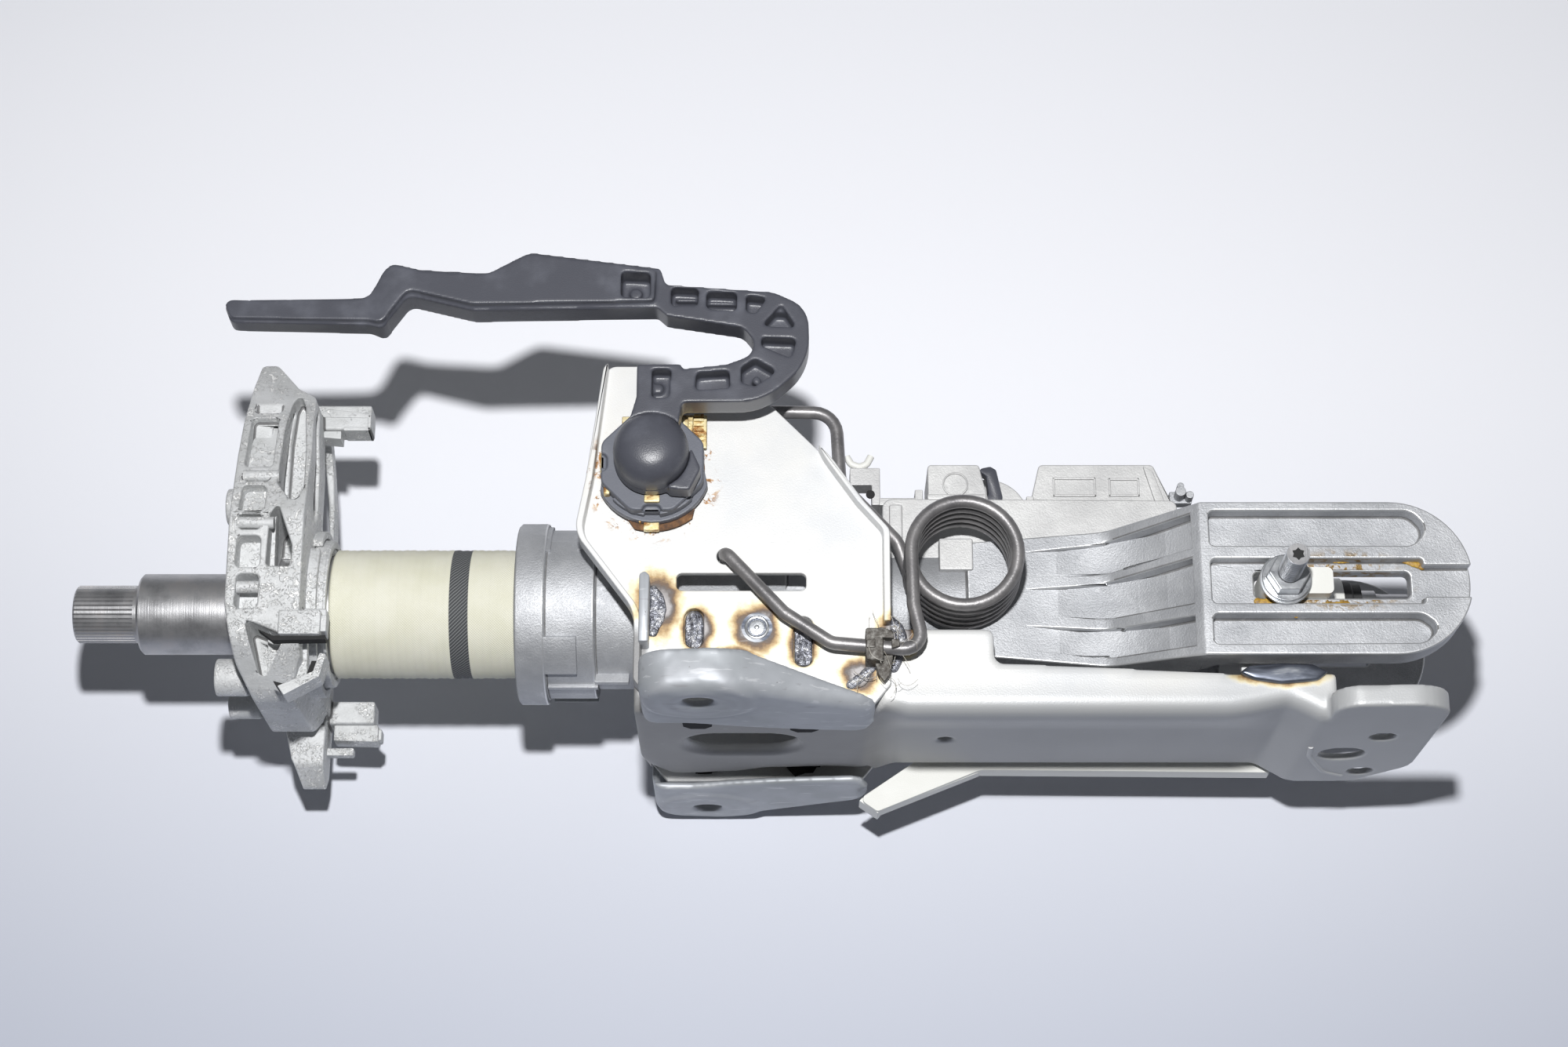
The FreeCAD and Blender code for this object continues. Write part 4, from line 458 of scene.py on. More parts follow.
def lint_fibre():
    paint = Paint("lint_fibre", roughness=0.8)
    cloud = paint.noise(0.004, detail=3.0)
    return paint.finish(paint.ramp(cloud, [(0.4, (0.30, 0.27, 0.22)), (0.6, (0.62, 0.60, 0.55))]))


MAKERS = {
    "plated_sheet": pressed_steel,
    "grey_sheet": bare_sheet,
    "cast_alloy": column_cast,
    "carrier_alloy": carrier_cast,
    "woven_tape": woven_tape,
    "spring_steel": spring_wire,
    "zinc_hardware": plated_hardware,
    "weld_metal": weld_metal,
    "lint_fibre": lint_fibre,
    "turned_steel": turned_steel,
    # the rubbed edges of the castings, and painted shade in their inner corners
    "worn_cast": lambda: plain_cast(
        "rubbed_edges", (0.60, 0.61, 0.63), (0.78, 0.79, 0.80), (0.84, 0.84, 0.85), 0.7, 0.00008,
        rougher=-0.12),
    "corner_dirt": lambda: plain_cast(
        "corner_dirt", (0.13, 0.13, 0.13), (0.26, 0.26, 0.265), (0.40, 0.40, 0.40), 0.2, 0.00016,
        rougher=0.15),
    "lock_alloy": lambda: plain_cast(
        "lock_casting", (0.51, 0.51, 0.51), (0.65, 0.65, 0.645), (0.72, 0.72, 0.71), 0.35, 0.00012),
}

# Name, noise, colour stops, roughness with what the noise adds to it, depth of relief and metallic
CLOUDED = {
    "brass_tint": ("yellow_passivate", (0.004, 6.0, 0.55, 0.8),
                   [(0.36, (0.30, 0.14, 0.04)), (0.5, (0.62, 0.50, 0.25)), (0.68, (0.80, 0.74, 0.50))],
                   0.34, 0.3, 0.0002, 0.6),
    "rusty_steel": ("rusty_steel", (0.003, 7.0, 0.7),
                    [(0.38, (0.09, 0.05, 0.03)), (0.58, (0.22, 0.11, 0.05)), (0.74, (0.46, 0.26, 0.11))],
                    0.6, 0.3, 0.0004, 0.25),
    # the smooth blue-grey skin of the long weld on the channel's edge
    "weld_scale": ("weld_scale", (0.010, 4.0, 0.55, 0.4, (0.35, 1.6, 1.0)),
                   [(0.32, (0.045, 0.05, 0.065)), (0.52, (0.20, 0.22, 0.27)),
                    (0.68, (0.62, 0.64, 0.67))], 0.22, 0.2, 0.0002, 0.75),
    # the spring clip's dull sheet, packed with brown dirt
    "dirty_sheet": ("dirty_sheet", (0.002, 6.0, 0.7),
                    [(0.38, (0.05, 0.042, 0.035)), (0.54, (0.14, 0.132, 0.12)),
                     (0.72, (0.36, 0.35, 0.33))], 0.45, 0.3, 0.00012, 0.4),
    # amber grease that has crept out of the slot, thick and glossy
    "old_grease": ("old_grease", (0.002, 5.0, 0.7),
                   [(0.34, (0.16, 0.08, 0.015)), (0.5, (0.42, 0.24, 0.03)), (0.68, (0.66, 0.46, 0.10))],
                   0.22, 0.3, 0.0004),
    "bearing_steel": ("ground_steel", (0.0007, 2.0, 0.55, 0.0, (1.0, 0.03, 0.03)),
                      [(0.3, (0.50, 0.50, 0.51)), (0.7, (0.68, 0.68, 0.69))], 0.25, 0.1, 0.00003, 0.9),
}

# Colour, light colour, roughness and, where it isn't usual, how scuffed
MOULDED = {
    "black_plastic": ((0.074, 0.077, 0.094), (0.160, 0.168, 0.200), 0.29),
    "dark_plastic": ((0.13, 0.138, 0.165), (0.20, 0.21, 0.24), 0.40),
    "white_plastic": ((0.78, 0.78, 0.74), (0.86, 0.86, 0.83), 0.36, 0.1),
    # near-black painted shade for holes, slits, sockets and notches
    "cavity_shade": ((0.012, 0.012, 0.013), (0.03, 0.03, 0.03), 0.7),
    "seal_rubber": ((0.035, 0.035, 0.036), (0.07, 0.07, 0.07), 0.6),
}
made_materials = {}


def material(name):
    """The material of this finish, built once."""
    if name not in made_materials:
        if name in MOULDED:
            made_materials[name] = moulded(name, *MOULDED[name])
        elif name in CLOUDED:
            made_materials[name] = clouded(*CLOUDED[name])
        else:
            made_materials[name] = MAKERS[name]()
    return made_materials[name]


# Mesh helpers

# How far a bevel's vertex may lie from the old surface, as a share of the bevel's width, and how
# much a rounding's neighbours must rise in front of it for it to be an inward corner
STRAY_SHARE = 0.7
INWARD = 0.05


def place(name, mesh, body, slot, finish=None):
    """Puts a mesh in the scene as a piece that rides on a body."""
    piece = bpy.data.objects.new(name, mesh)
    bpy.context.scene.collection.objects.link(piece)
    if not mesh.materials:
        mesh.materials.append(material(finish or slot))
    if body:
        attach(piece, body)
    return piece


def baked(mesh, modifiers):
    """The mesh after these modifiers, given as (type, settings)."""
    worker = bpy.data.objects.new("worker", mesh)
    bpy.context.scene.collection.objects.link(worker)
    for kind, settings in modifiers:
        modifier = worker.modifiers.new(kind.lower(), kind)
        for key, value in settings.items():
            setattr(modifier, key, value)
    result = bpy.data.meshes.new_from_object(worker.evaluated_get(bpy.context.evaluated_depsgraph_get()))
    bpy.data.objects.remove(worker)
    return result


def smooth(mesh, degrees=35.0):
    mesh.shade_smooth()
    mesh.set_sharp_from_angle(angle=math.radians(degrees))
    return mesh


def merged_copy(node):
    """A merged copy of a CAD node's mesh whose flat faces are whole again."""
    mesh = frame["nodes"][node].data.copy()
    mesh.materials.clear()
    work = bmesh.new()
    work.from_mesh(mesh)
    bmesh.ops.remove_doubles(work, verts=work.verts, dist=2e-6)
    bmesh.ops.dissolve_limit(work, angle_limit=math.radians(0.8), verts=work.verts, edges=work.edges)
    work.to_mesh(mesh)
    work.free()
    return mesh


def soft_edged(node, width, finish, edge=None, corner=None, bend=32.0):
    """A copy of a CAD node with its sharp edges rounded, the roundings in finishes of their own."""
    mesh = merged_copy(node)
    skin = bmesh.new()
    skin.from_mesh(mesh)
    surface = BVHTree.FromBMesh(skin)
    skin.free()
    for name in (finish, edge or finish, corner or finish):
        mesh.materials.append(material(name))
    result = baked(mesh, [("BEVEL", {"width": width, "segments": 2, "limit_method": "ANGLE",
                                     "angle_limit": math.radians(bend), "use_clamp_overlap": False,
                                     "material": 1, "harden_normals": False})])
    # a bevel that runs past a short edge leaves vertices off the part, which go back to its surface
    for vertex in result.vertices:
        point, _, _, away = surface.find_nearest(vertex.co)
        if away > width * STRAY_SHARE:
            vertex.co = point
    mark_corners(result)
    return weighted(smooth(result, max(40.0, bend)))


def mark_corners(mesh):
    """Gives the roundings of inward corners, where shade falls, the mesh's third finish: painted shade."""
    work = bmesh.new()
    work.from_mesh(mesh)
    for face in work.faces:
        if face.material_index == 1:
            centre = face.calc_center_median()
            others = [other for edge in face.edges for other in edge.link_faces if other is not face]
            steps = [(other.calc_center_median() - centre).normalized() for other in others]
            if sum(face.normal.dot(step) for step in steps) > INWARD:
                face.material_index = 2
    work.to_mesh(mesh)
    work.free()


def weighted(mesh):
    """The mesh with normals that keep its large faces flat."""
    return baked(mesh, [("WEIGHTED_NORMAL", {"keep_sharp": True, "weight": 80})])


def dress(name, node, body, slot, width, finish=None, edge=None, corner=None, bend=32.0):
    """Replaces a CAD node by its soft-edged copy."""
    mesh = soft_edged(node, width, finish or slot, edge, corner, bend)
    piece = place(name, mesh, body, slot)
    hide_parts(node)
    return piece


def from_bmesh(work, name, degrees=35.0):
    mesh = bpy.data.meshes.new(name)
    bmesh.ops.recalc_face_normals(work, faces=work.faces)
    work.to_mesh(mesh)
    work.free()
    return smooth(mesh, degrees)


def tube(points, radius, sides=16):
    """A round bar along points, as a mesh with capped ends."""
    work = bmesh.new()
    rings = []
    side = None
    for i, point in enumerate(points):
        ahead = points[min(i + 1, len(points) - 1)] - points[max(i - 1, 0)]
        ahead.normalize()
        side = ahead.orthogonal() if side is None else side - ahead * side.dot(ahead)
        side.normalize()
        up = ahead.cross(side)
        ring = []
        for step in range(sides):
            angle = 2 * math.pi * step / sides
            ring.append(work.verts.new(point + (side * math.cos(angle) + up * math.sin(angle)) * radius))
        rings.append(ring)
    for first, second in zip(rings, rings[1:]):
        for step in range(sides):
            work.faces.new((first[step], first[(step + 1) % sides],
                            second[(step + 1) % sides], second[step]))
    work.faces.new(list(reversed(rings[0])))
    work.faces.new(rings[-1])
    return from_bmesh(work, "tube")


def prism(outline, low, high, width=0.4, plane="XY"):
    """A prism of an outline in a plane, between two heights across it, all in millimetres."""
    order = {"XY": (0, 1, 2), "XZ": (0, 2, 1), "YZ": (2, 0, 1)}[plane]
    work = bmesh.new()
    base, top = [[work.verts.new([(u * MM, v * MM, level * MM)[i] for i in order]) for u, v in outline]
                 for level in (low, high)]
    count = len(outline)
    work.faces.new(list(reversed(base)))
    work.faces.new(top)
    for i in range(count):
        work.faces.new((base[i], base[(i + 1) % count], top[(i + 1) % count], top[i]))
    if width:
        bmesh.ops.recalc_face_normals(work, faces=work.faces)
        bmesh.ops.bevel(work, geom=work.edges[:], offset=width * MM, segments=2, affect="EDGES",
                        profile=0.5)
    return from_bmesh(work, "prism")


def block(low, high, width=0.4):
    """A small box with rounded edges between two corners, in millimetres."""
    return prism(oblong(low[0], low[1], high[0], high[1]), low[2], high[2], width)


def oblong(left, near, right, far):
    return [(left, near), (right, near), (right, far), (left, far)]


def fan(x, y, radius, start, stop, step):
    """Points round a centre, at angles in whole degrees."""
    turns = [math.radians(angle) for angle in range(start, stop, step)]
    return [(x + radius * math.cos(turn), y + radius * math.sin(turn)) for turn in turns]


def shell_patch(start, end, low, high, inner, outer, width=0.35):
    """A curved plate round the spindle axis; angles in degrees from +Z towards +Y."""
    steps = max(2, int(abs(high - low) / 4))
    work = bmesh.new()
    rows = []
    for i in range(steps + 1):
        angle = math.radians(low + (high - low) * i / steps)
        rows.append([work.verts.new(mm(x, radius * math.sin(angle), radius * math.cos(angle)))
                     for x, radius in ((start, inner), (end, inner), (end, outer), (start, outer))])
    for first, second in zip(rows, rows[1:]):
        for k in range(4):
            work.faces.new((first[k], first[(k + 1) % 4], second[(k + 1) % 4], second[k]))
    work.faces.new(rows[0])
    work.faces.new(rows[-1])
    bmesh.ops.recalc_face_normals(work, faces=work.faces)
    sharp = [edge for edge in work.edges if edge.calc_face_angle(0.0) > 0.6]
    bmesh.ops.bevel(work, geom=sharp, offset=width * MM, segments=2, affect="EDGES", profile=0.5)
    return from_bmesh(work, "patch", 40.0)


def remeshed(meshes, voxel, rounds, finish):
    """One skin over several meshes, with its edges worn round."""
    skin = baked(joined(meshes), [("REMESH", {"mode": "VOXEL", "voxel_size": voxel * MM}),
                                  ("SMOOTH", {"factor": 0.5, "iterations": rounds})])
    skin.materials.clear()
    skin.materials.append(material(finish))
    return smooth(skin, 70)


def joined(meshes):
    """One mesh from several, each keeping its material."""
    work = bmesh.new()
    result = bpy.data.meshes.new("joined")
    for mesh in meshes:
        offset = len(result.materials)
        for item in mesh.materials:
            result.materials.append(item)
        start = len(work.faces)
        work.from_mesh(mesh)
        work.faces.ensure_lookup_table()
        for face in work.faces[start:]:
            face.material_index += offset
    work.to_mesh(result)
    work.free()
    return weighted(smooth(result))


def ring_points(x, y, radius, steps, z):
    """Points once round a circle that lies flat, with the first one repeated at the end."""
    turns = [2 * math.pi * i / steps for i in range(steps + 1)]
    return [mm(x + radius * math.cos(turn), y + radius * math.sin(turn), z) for turn in turns]


def polyline(points):
    """A mesh of edges only, as a path for a node tree to follow."""
    mesh = bpy.data.meshes.new("path")
    mesh.from_pydata([tuple(p) for p in points], [(i, i + 1) for i in range(len(points) - 1)], [])
    return mesh


# Geometry Nodes

class Tree:
    """A Geometry Nodes tree with named inputs, which ends in Realize Instances and Set Material."""

    def __init__(self, name, sizes, finish):
        self.group = bpy.data.node_groups.new(name, "GeometryNodeTree")
        sockets = self.group.interface
        sockets.new_socket("Geometry", in_out="INPUT", socket_type="NodeSocketGeometry")
        for size_name, value in sizes.items():
            whole = isinstance(value, int)
            kind = "NodeSocketInt" if whole else "NodeSocketFloat"
            made = sockets.new_socket(size_name, in_out="INPUT", socket_type=kind)
            made.default_value = value
        sockets.new_socket("Geometry", in_out="OUTPUT", socket_type="NodeSocketGeometry")
        self.entry = self.group.nodes.new("NodeGroupInput")
        self.finish = finish

    def node(self, kind, settings=None, inputs=None):
        made = self.group.nodes.new(kind)
        for name, value in (settings or {}).items():
            setattr(made, name, value)
        for name, value in (inputs or {}).items():
            if isinstance(value, bpy.types.NodeSocket):
                self.group.links.new(value, made.inputs[name])
            else:
                made.inputs[name].default_value = value
        return made.outputs

    def size(self, name):
        return self.entry.outputs[name]

    def along(self, spacing):
        """Points along the path, at the spacing that this input gives."""
        curve = self.node("GeometryNodeMeshToCurve", {}, {"Mesh": self.size("Geometry")})
        return self.node("GeometryNodeCurveToPoints", {"mode": "LENGTH"},
                         {"Curve": curve["Curve"], "Length": self.size(spacing)})

    def close(self, geometry):
        real = self.node("GeometryNodeRealizeInstances", {}, {"Geometry": geometry})
        coated = self.node("GeometryNodeSetMaterial", {}, {"Geometry": real["Geometry"],
                                                           "Material": material(self.finish)})
        leave = self.group.nodes.new("NodeGroupOutput")
        self.group.links.new(coated["Geometry"], leave.inputs["Geometry"])
        return self.group

    def run(self, mesh, values):
        """The mesh that the tree makes of this mesh with these input values."""
        worker = bpy.data.objects.new("worker", mesh)
        bpy.context.scene.collection.objects.link(worker)
        modifier = worker.modifiers.new("tree", "NODES")
        modifier.node_group = self.group
        for item in self.group.interface.items_tree:
            if item.in_out == "INPUT" and item.name in values:
                modifier[item.identifier] = values[item.name]
        graph = bpy.context.evaluated_depsgraph_get()
        result = bpy.data.meshes.new_from_object(worker.evaluated_get(graph))
        bpy.data.objects.remove(worker)
        return result


def ripple_tree(finish="weld_metal"):
    """Ripples of a weld: flattened beads set close along a path, each a little different in size."""
    tree = Tree("ripples", {"Spacing": 0.0012, "Bead": 0.0022, "Flatness": 0.5, "Seed": 3}, finish)
    points = tree.along("Spacing")
    bead = tree.node("GeometryNodeMeshIcoSphere", {}, {"Radius": tree.size("Bead"), "Subdivisions": 2})
    spread = tree.node("FunctionNodeRandomValue", {"data_type": "FLOAT"},
                       {"Min": 0.9, "Max": 1.08, "Seed": tree.size("Seed")})
    flat = tree.node("ShaderNodeMath", {"operation": "MULTIPLY"},
                     {0: spread[1], 1: tree.size("Flatness")})
    scale = tree.node("ShaderNodeCombineXYZ", {}, {0: spread[1], 1: spread[1], 2: flat[0]})
    beads = tree.node("GeometryNodeInstanceOnPoints", {},
                      {"Points": points["Points"], "Instance": bead["Mesh"], "Scale": scale[0]})
    shaded = tree.node("GeometryNodeRealizeInstances", {}, {"Geometry": beads["Instances"]})
    smoothed = tree.node("GeometryNodeSetShadeSmooth", {}, {"Geometry": shaded["Geometry"]})
    tree.close(smoothed["Geometry"])
    return tree


def thread_tree():
    """Thread crests: thin rings set at a pitch along a straight path."""
    tree = Tree("thread_crests", {"Pitch": 0.00125, "Radius": 0.004, "Depth": 0.0003}, "zinc_hardware")
    points = tree.along("Pitch")
    circle = tree.node("GeometryNodeCurvePrimitiveCircle", {},
                       {"Resolution": 28, "Radius": tree.size("Radius")})
    section = tree.node("GeometryNodeCurvePrimitiveCircle", {},
                        {"Resolution": 6, "Radius": tree.size("Depth")})
    ring = tree.node("GeometryNodeCurveToMesh", {},
                     {"Curve": circle["Curve"], "Profile Curve": section["Curve"]})
    rings = tree.node("GeometryNodeInstanceOnPoints", {},
                      {"Points": points["Points"], "Instance": ring["Mesh"],
                       "Rotation": points["Rotation"]})
    tree.close(rings["Instances"])
    return tree


def fin_tree():
    """Small fins set at a pitch along a straight path."""
    tree = Tree("fins", {"Pitch": 0.002, "Along": 0.001, "Wide": 0.004, "Tall": 0.002}, "brass_tint")
    points = tree.along("Pitch")
    extent = tree.node("ShaderNodeCombineXYZ", {}, {0: tree.size("Along"), 1: tree.size("Wide"),
                                                    2: tree.size("Tall")})
    fin = tree.node("GeometryNodeMeshCube", {}, {"Size": extent[0]})
    fins = tree.node("GeometryNodeInstanceOnPoints", {},
                     {"Points": points["Points"], "Instance": fin["Mesh"]})
    tree.close(fins["Instances"])
    return tree


# Sizes and colours a user would change

class ColumnSizes(bpy.types.PropertyGroup):
    """Sizes of the small parts, in metres."""

    cast_round: bpy.props.FloatProperty(
        name="Casting edge", description="Rounding of the castings' edges",
        default=0.0007, min=0.0, unit="LENGTH")
    sheet_round: bpy.props.FloatProperty(
        name="Sheet edge", description="Rounding of the pressed sheets' edges",
        default=0.0005, min=0.0, unit="LENGTH")
    wire_radius: bpy.props.FloatProperty(
        name="Wire radius", description="Radius of the balance spring's wire",
        default=0.00245, min=0.001, unit="LENGTH")
    weld_spacing: bpy.props.FloatProperty(
        name="Weld ripple", description="Distance from one ripple of a weld to the next",
        default=0.0009, min=0.0003, unit="LENGTH")
    thread_pitch: bpy.props.FloatProperty(
        name="Thread pitch", description="Pitch of the pivot studs' threads",
        default=0.00125, min=0.0005, unit="LENGTH")
    lint_count: bpy.props.IntProperty(
        name="Lint fibres", description="Number of fibres caught in the spring clip",
        default=26, min=0)


class StageColors(bpy.types.PropertyGroup):
    """Colours of the floor and the light round the object."""

    floor: bpy.props.FloatVectorProperty(
        name="Floor", description="Colour of the floor", subtype="COLOR", size=3,
        default=(0.94, 0.95, 1.0), min=0.0, max=1.0)
    surround: bpy.props.FloatVectorProperty(
        name="Surround", description="Colour of the light from all sides", subtype="COLOR", size=3,
        default=(0.92, 0.95, 1.0), min=0.0, max=1.0)


def sizes():
    return bpy.context.scene.column_sizes


# Pieces

class COLUMN_OT_finishes(bpy.types.Operator):
    """Give every node that stays its own finish"""

    bl_idname = "column.finishes"
    bl_label = "Finishes"

    def execute(self, context):
        slots = {item["node"]: item["material_slot"] for item in frame["record"]["subparts"]}
        for name, node in frame["nodes"].items():
            node.data.materials.clear()
            node.data.materials.append(material(slots[name]))
        return {"FINISHED"}


class COLUMN_OT_castings(bpy.types.Operator):
    """Dress the sliding casting with soft, rubbed edges and its collar's interlocking step"""

    bl_idname = "column.castings"
    bl_label = "Column casting"

    def execute(self, context):
        # the roundings of its inner corners take the painted shade
        dress("housing_casting", "column_housing", "column", "cast_alloy", sizes().cast_round,
              "cast_alloy", "worn_cast", "corner_dirt", 50)
        place("ramp_pocket_floors", joined(self.floors()), "column", "cast_alloy")
        collar = [
            shell_patch(178.2, 190.5, -59, -32.4, 31.4, 34.1),
            shell_patch(178.2, 180.3, 28, 74, 31.4, 33),
            shell_patch(190, 197.6, 30, 31.6, 31.4, 32.4),
            shell_patch(179.2, 197.9, -76, -73, 31.4, 33.2),
            shell_patch(196.6, 209.4, -73, -69.5, 27.8, 32.2),
            shell_patch(196.2, 209.6, 60, 63.5, 27.8, 31),
        ]
        for angle in (118, 150, 210, 242):
            collar.append(shell_patch(180, 196.8, angle, angle + 3.5, 31.4, 33.4))
        place("collar_steps", joined(collar), "column", "cast_alloy")
        return {"FINISHED"}

    def floors(self):
        """Hollow curves that join the two planes of each ramp pocket's floor."""
        start, bend, end = (368, 23.3), (391, 20), (408, 34)
        curve = []
        for step in range(13):
            t = step / 12
            weights = ((1 - t) ** 2, 2 * t * (1 - t), t * t)
            curve.append(tuple(sum(w * p[i] for w, p in zip(weights, (start, bend, end))) for i in (0, 1)))
        shapes = []
        for low, high in ((8.2, 20.6), (-10.4, 4.4), (-25.6, -14.4)):
            for side in (1, -1):
                outline = [(x, z * side) for x, z in curve + [(391, 18.5)]]
                shapes.append(prism(outline, low, high, 0, "XZ"))
        return shapes


class COLUMN_OT_lock(bpy.types.Operator):
    """Dress the steering lock and add its ledge, tab, pins and blank plaques"""

    bl_idname = "column.lock"
    bl_label = "Steering lock"

    def execute(self, context):
        dress("lock_casting", "lock_housing", "column", "lock_alloy", 0.0005)
        cast = [
            prism([(303, 41), (303, 38), (319.5, 38), (319.5, 44.3), (316.5, 44.3), (316.5, 41)],
                  -16, 16.5),
            prism([(292, 53.5), (303.4, 53.5), (303.4, 38.5), (300.2, 38.5), (300.2, 46.5), (292, 46.5)],
                  6, 15.5),
            block((321.2, 40, 12.5), (343.4, 42.2, 17.4)),
            block((358.6, 25.5, 12.5), (361.4, 41.5, 16.8)),
            prism([(361.4, 38.2), (414, 35.6), (414.3, 37.4), (361.4, 40.4)], 13.5, 16.9),
            prism([(407.8, 37.6), (411.6, 37.4), (406.8, 52), (403.2, 53.8)], 13.8, 16.4),
            prism([(347.5, 31.5), (358, 31), (358, 33.6), (347.5, 34.1)], 12.6, 18.2),
            block((324.7, 8.8, 18), (337.3, 21.3, 26.5), 0.8),
            block((306.5, 22, 12), (311.5, 37, 20.5), 0.8),
        ]
        for x, y, wide, tall in ((377, 45.7, 16.3, 7.6), (395.8, 45.6, 11.6, 7.3),
                                 (396, 35.6, 10.8, 6.2)):
            cast += plaque(x, y, wide, tall, 15.3)
        place("lock_ledges", joined(cast), "column", "lock_alloy")
        ring = tube(ring_points(331.9, 46.8, 4.6, 32, 15.4), 0.35 * MM, 8)
        place("lock_blank_seal", ring, "column", "lock_alloy")
        pins = [prism(circle(x, y, radius, 20), low, high, 0.35) for x, y, radius, low, high in (
            (416.6, 42.3, 2, 8, 20.5), (420.2, 41.4, 1.5, 9, 19), (417, 45.4, 1.3, 10, 18))]
        pins.append(block((413, 39.6, 9), (421.5, 44.5, 14), 0.6))
        place("lock_pins", joined(pins), "column", "cast_alloy")
        tab = prism([(341.6, 40), (349, 40), (350.1, 42.5), (347.8, 54), (345.6, 55.4),
                     (342, 54.6), (341.2, 53.2), (343.8, 51.5), (344.6, 44)], 7, 12.5, 0.7)
        place("lock_release_tab", tab, "column", "black_plastic")
        cup = rounded([mm(x, y, 10) for x, y in ((290.9, 60), (292.6, 57), (295.8, 55.8), (298.6, 57),
                                                 (300.2, 60.2))], 2.6 * MM)
        stem = block((294.4, 52.8, 8.4), (297.2, 56.2, 11.4), 0.5)
        place("lead_hook", joined([tube(cup, 1.4 * MM, 12), stem]), "column", "white_plastic")
        # painted shade: a thin dark disc stands for the ledge's hole
        hole = prism(circle(299.7, 42.6, 1.7, 20), 15.4, 15.9, 0)
        place("ledge_hole_shade", hole, "column", "seal_rubber", "cavity_shade")
        return {"FINISHED"}


def circle(x, y, radius, count):
    turns = [2 * math.pi * i / count for i in range(count)]
    return [(x + radius * math.cos(turn), y + radius * math.sin(turn)) for turn in turns]


def stadium(x, y, half, radius):
    """An upright slot's outline: its straight half-length and the radius of its ends."""
    return fan(x, y + half, radius, 0, 181, 20) + fan(x, y - half, radius, 180, 361, 20)


def plaque(x, y, wide, tall, face):
    """The raised frame of a blank plaque: four bars round an empty field."""
    w, h = wide / 2, tall / 2
    bar = 0.8
    sides = ((-w, -h, w, bar - h), (-w, h - bar, w, h), (-w, -h, bar - w, h), (w - bar, -h, w, h))
    return [block((x + a, y + b, face - 0.4), (x + c, y + d, face + 0.6), 0.25) for a, b, c, d in sides]


class COLUMN_OT_carrier(bpy.types.Operator):
    """Dress the switch carrier at the wheel end, with its webs and ribs"""

    bl_idname = "column.carrier"
    bl_label = "Switch carrier"

    def execute(self, context):
        # the roundings of its inner corners take the painted shade
        carrier = dress("carrier_casting", "switch_carrier", "column", "carrier_alloy", 0.0008,
                        corner="corner_dirt")
        self.taper_wing(carrier.data)
        # floors that close the panels a little below the lit face, and round ribs between them
        lit = [(-14, 33), (24, 38.6), (66, 24.5), (86, 13), (86, 9), (66, 19.5), (24, 33.6),
               (-14, 28)]
        webs = [prism(lit, 66.4, 79.6, 0.5, "YZ"),
                prism([(-36, 22), (-14, 30), (-14, 34), (-36, 27)], 78, 92.5, 0.5, "YZ")]
        for y, z in ((41.3, 38.6), (20.8, 44.2), (-3, 41)):
            webs.append(prism(circle(y, z, 2.3, 20), 66.5, 80, 0.3, "YZ"))
        prong_tip = [
            prism([(86, 82), (107.8, 79.4), (107.8, 77.6), (86, 78)], -6.4, 6.4),
            block((97.5, 74, -5), (107.9, 72.4, 6.4)),
            block((106.6, 72.4, -5), (107.9, 79, 6.4)),
            prism([(88, 72.8), (96.5, 72.8), (96.5, 69.4), (88, 70.2)], -4, 5),
            block((84, -13.6, 39.4), (99.4, -23, 47.4), 0.9),
            block((98.6, -15.2, 40.6), (101.4, -21.6, 46), 0.7),
        ]
        lower = [
            prism([(84, -40.5), (86.5, -44), (99, -37), (101, -28.5), (98.6, -28), (96.6, -35)], 30, 41),
            prism([(92, -29.5), (109.4, -30.6), (109.4, -37.6), (92, -37)], -53, -44, 0.9),
            block((108.4, -31.8, -52), (110.6, -36.6, -45.4), 0.7),
            block((86, -39.4, -50), (100, -42.6, -45.5), 0.7),
        ]
        place("carrier_webs", joined(webs + prong_tip + lower), "column", "carrier_alloy")
        # painted shade: dark strips stand for the shade inside the carrier's slits
        slit_shades = [
            prism([(76.5, -20.4), (82, -22.8), (101, -22.6), (101, -24.2), (82, -24.6)],
                  40, 44.9, 0),
            prism([(82, -38), (84.6, -41.4), (88.6, -42.4), (96, -38.4), (97.6, -30.4), (95.6, -30.4),
                   (93.8, -36.4), (88, -39.6)], 30, 38.6, 0),
        ]
        place("carrier_slit_shade", joined(slit_shades), "column", "carrier_alloy", "cavity_shade")
        hub = [shell_patch(86.4, 94.6, start, start + 52, 28.6, 31.4, 0.6)
               for start in (-80, -18, 44, 106, 168, 230)]
        hub.append(shell_patch(83, 97.6, -178, 178, 24.7, 27.6, 0.5))
        place("carrier_hub_ribs", joined(hub), "column", "carrier_alloy")
        return {"FINISHED"}

    def taper_wing(self, mesh):
        """Narrows the lower wing towards its tip."""
        for vertex, x, y, z in placed(mesh):
            if y < -34 and z < -30:
                vertex.co.x = (88.5 + (x - 88.5) * (1 - 0.45 * ease((-36 - y) / 20))) * MM


def front_edge(x):
    """Half-width of the flat part of the front plate, in millimetres, along the plate."""
    places = ((213, 41.5), (232, 39.5), (245, 37), (264, 28.5), (283, 25.5), (298, 28.5), (304, 45))
    for (x0, w0), (x1, w1) in zip(places, places[1:]):
        if x0 <= x <= x1:
            share = (x - x0) / (x1 - x0)
            return w0 + (w1 - w0) * ease(share)
    return 45


def slot_distance(x, z):
    """Distance in millimetres from the edge of the front plate's slot."""
    across = max(abs(x - SLOT_X) - SLOT_STRAIGHT, 0)
    return math.hypot(across, z) - SLOT_RADIUS


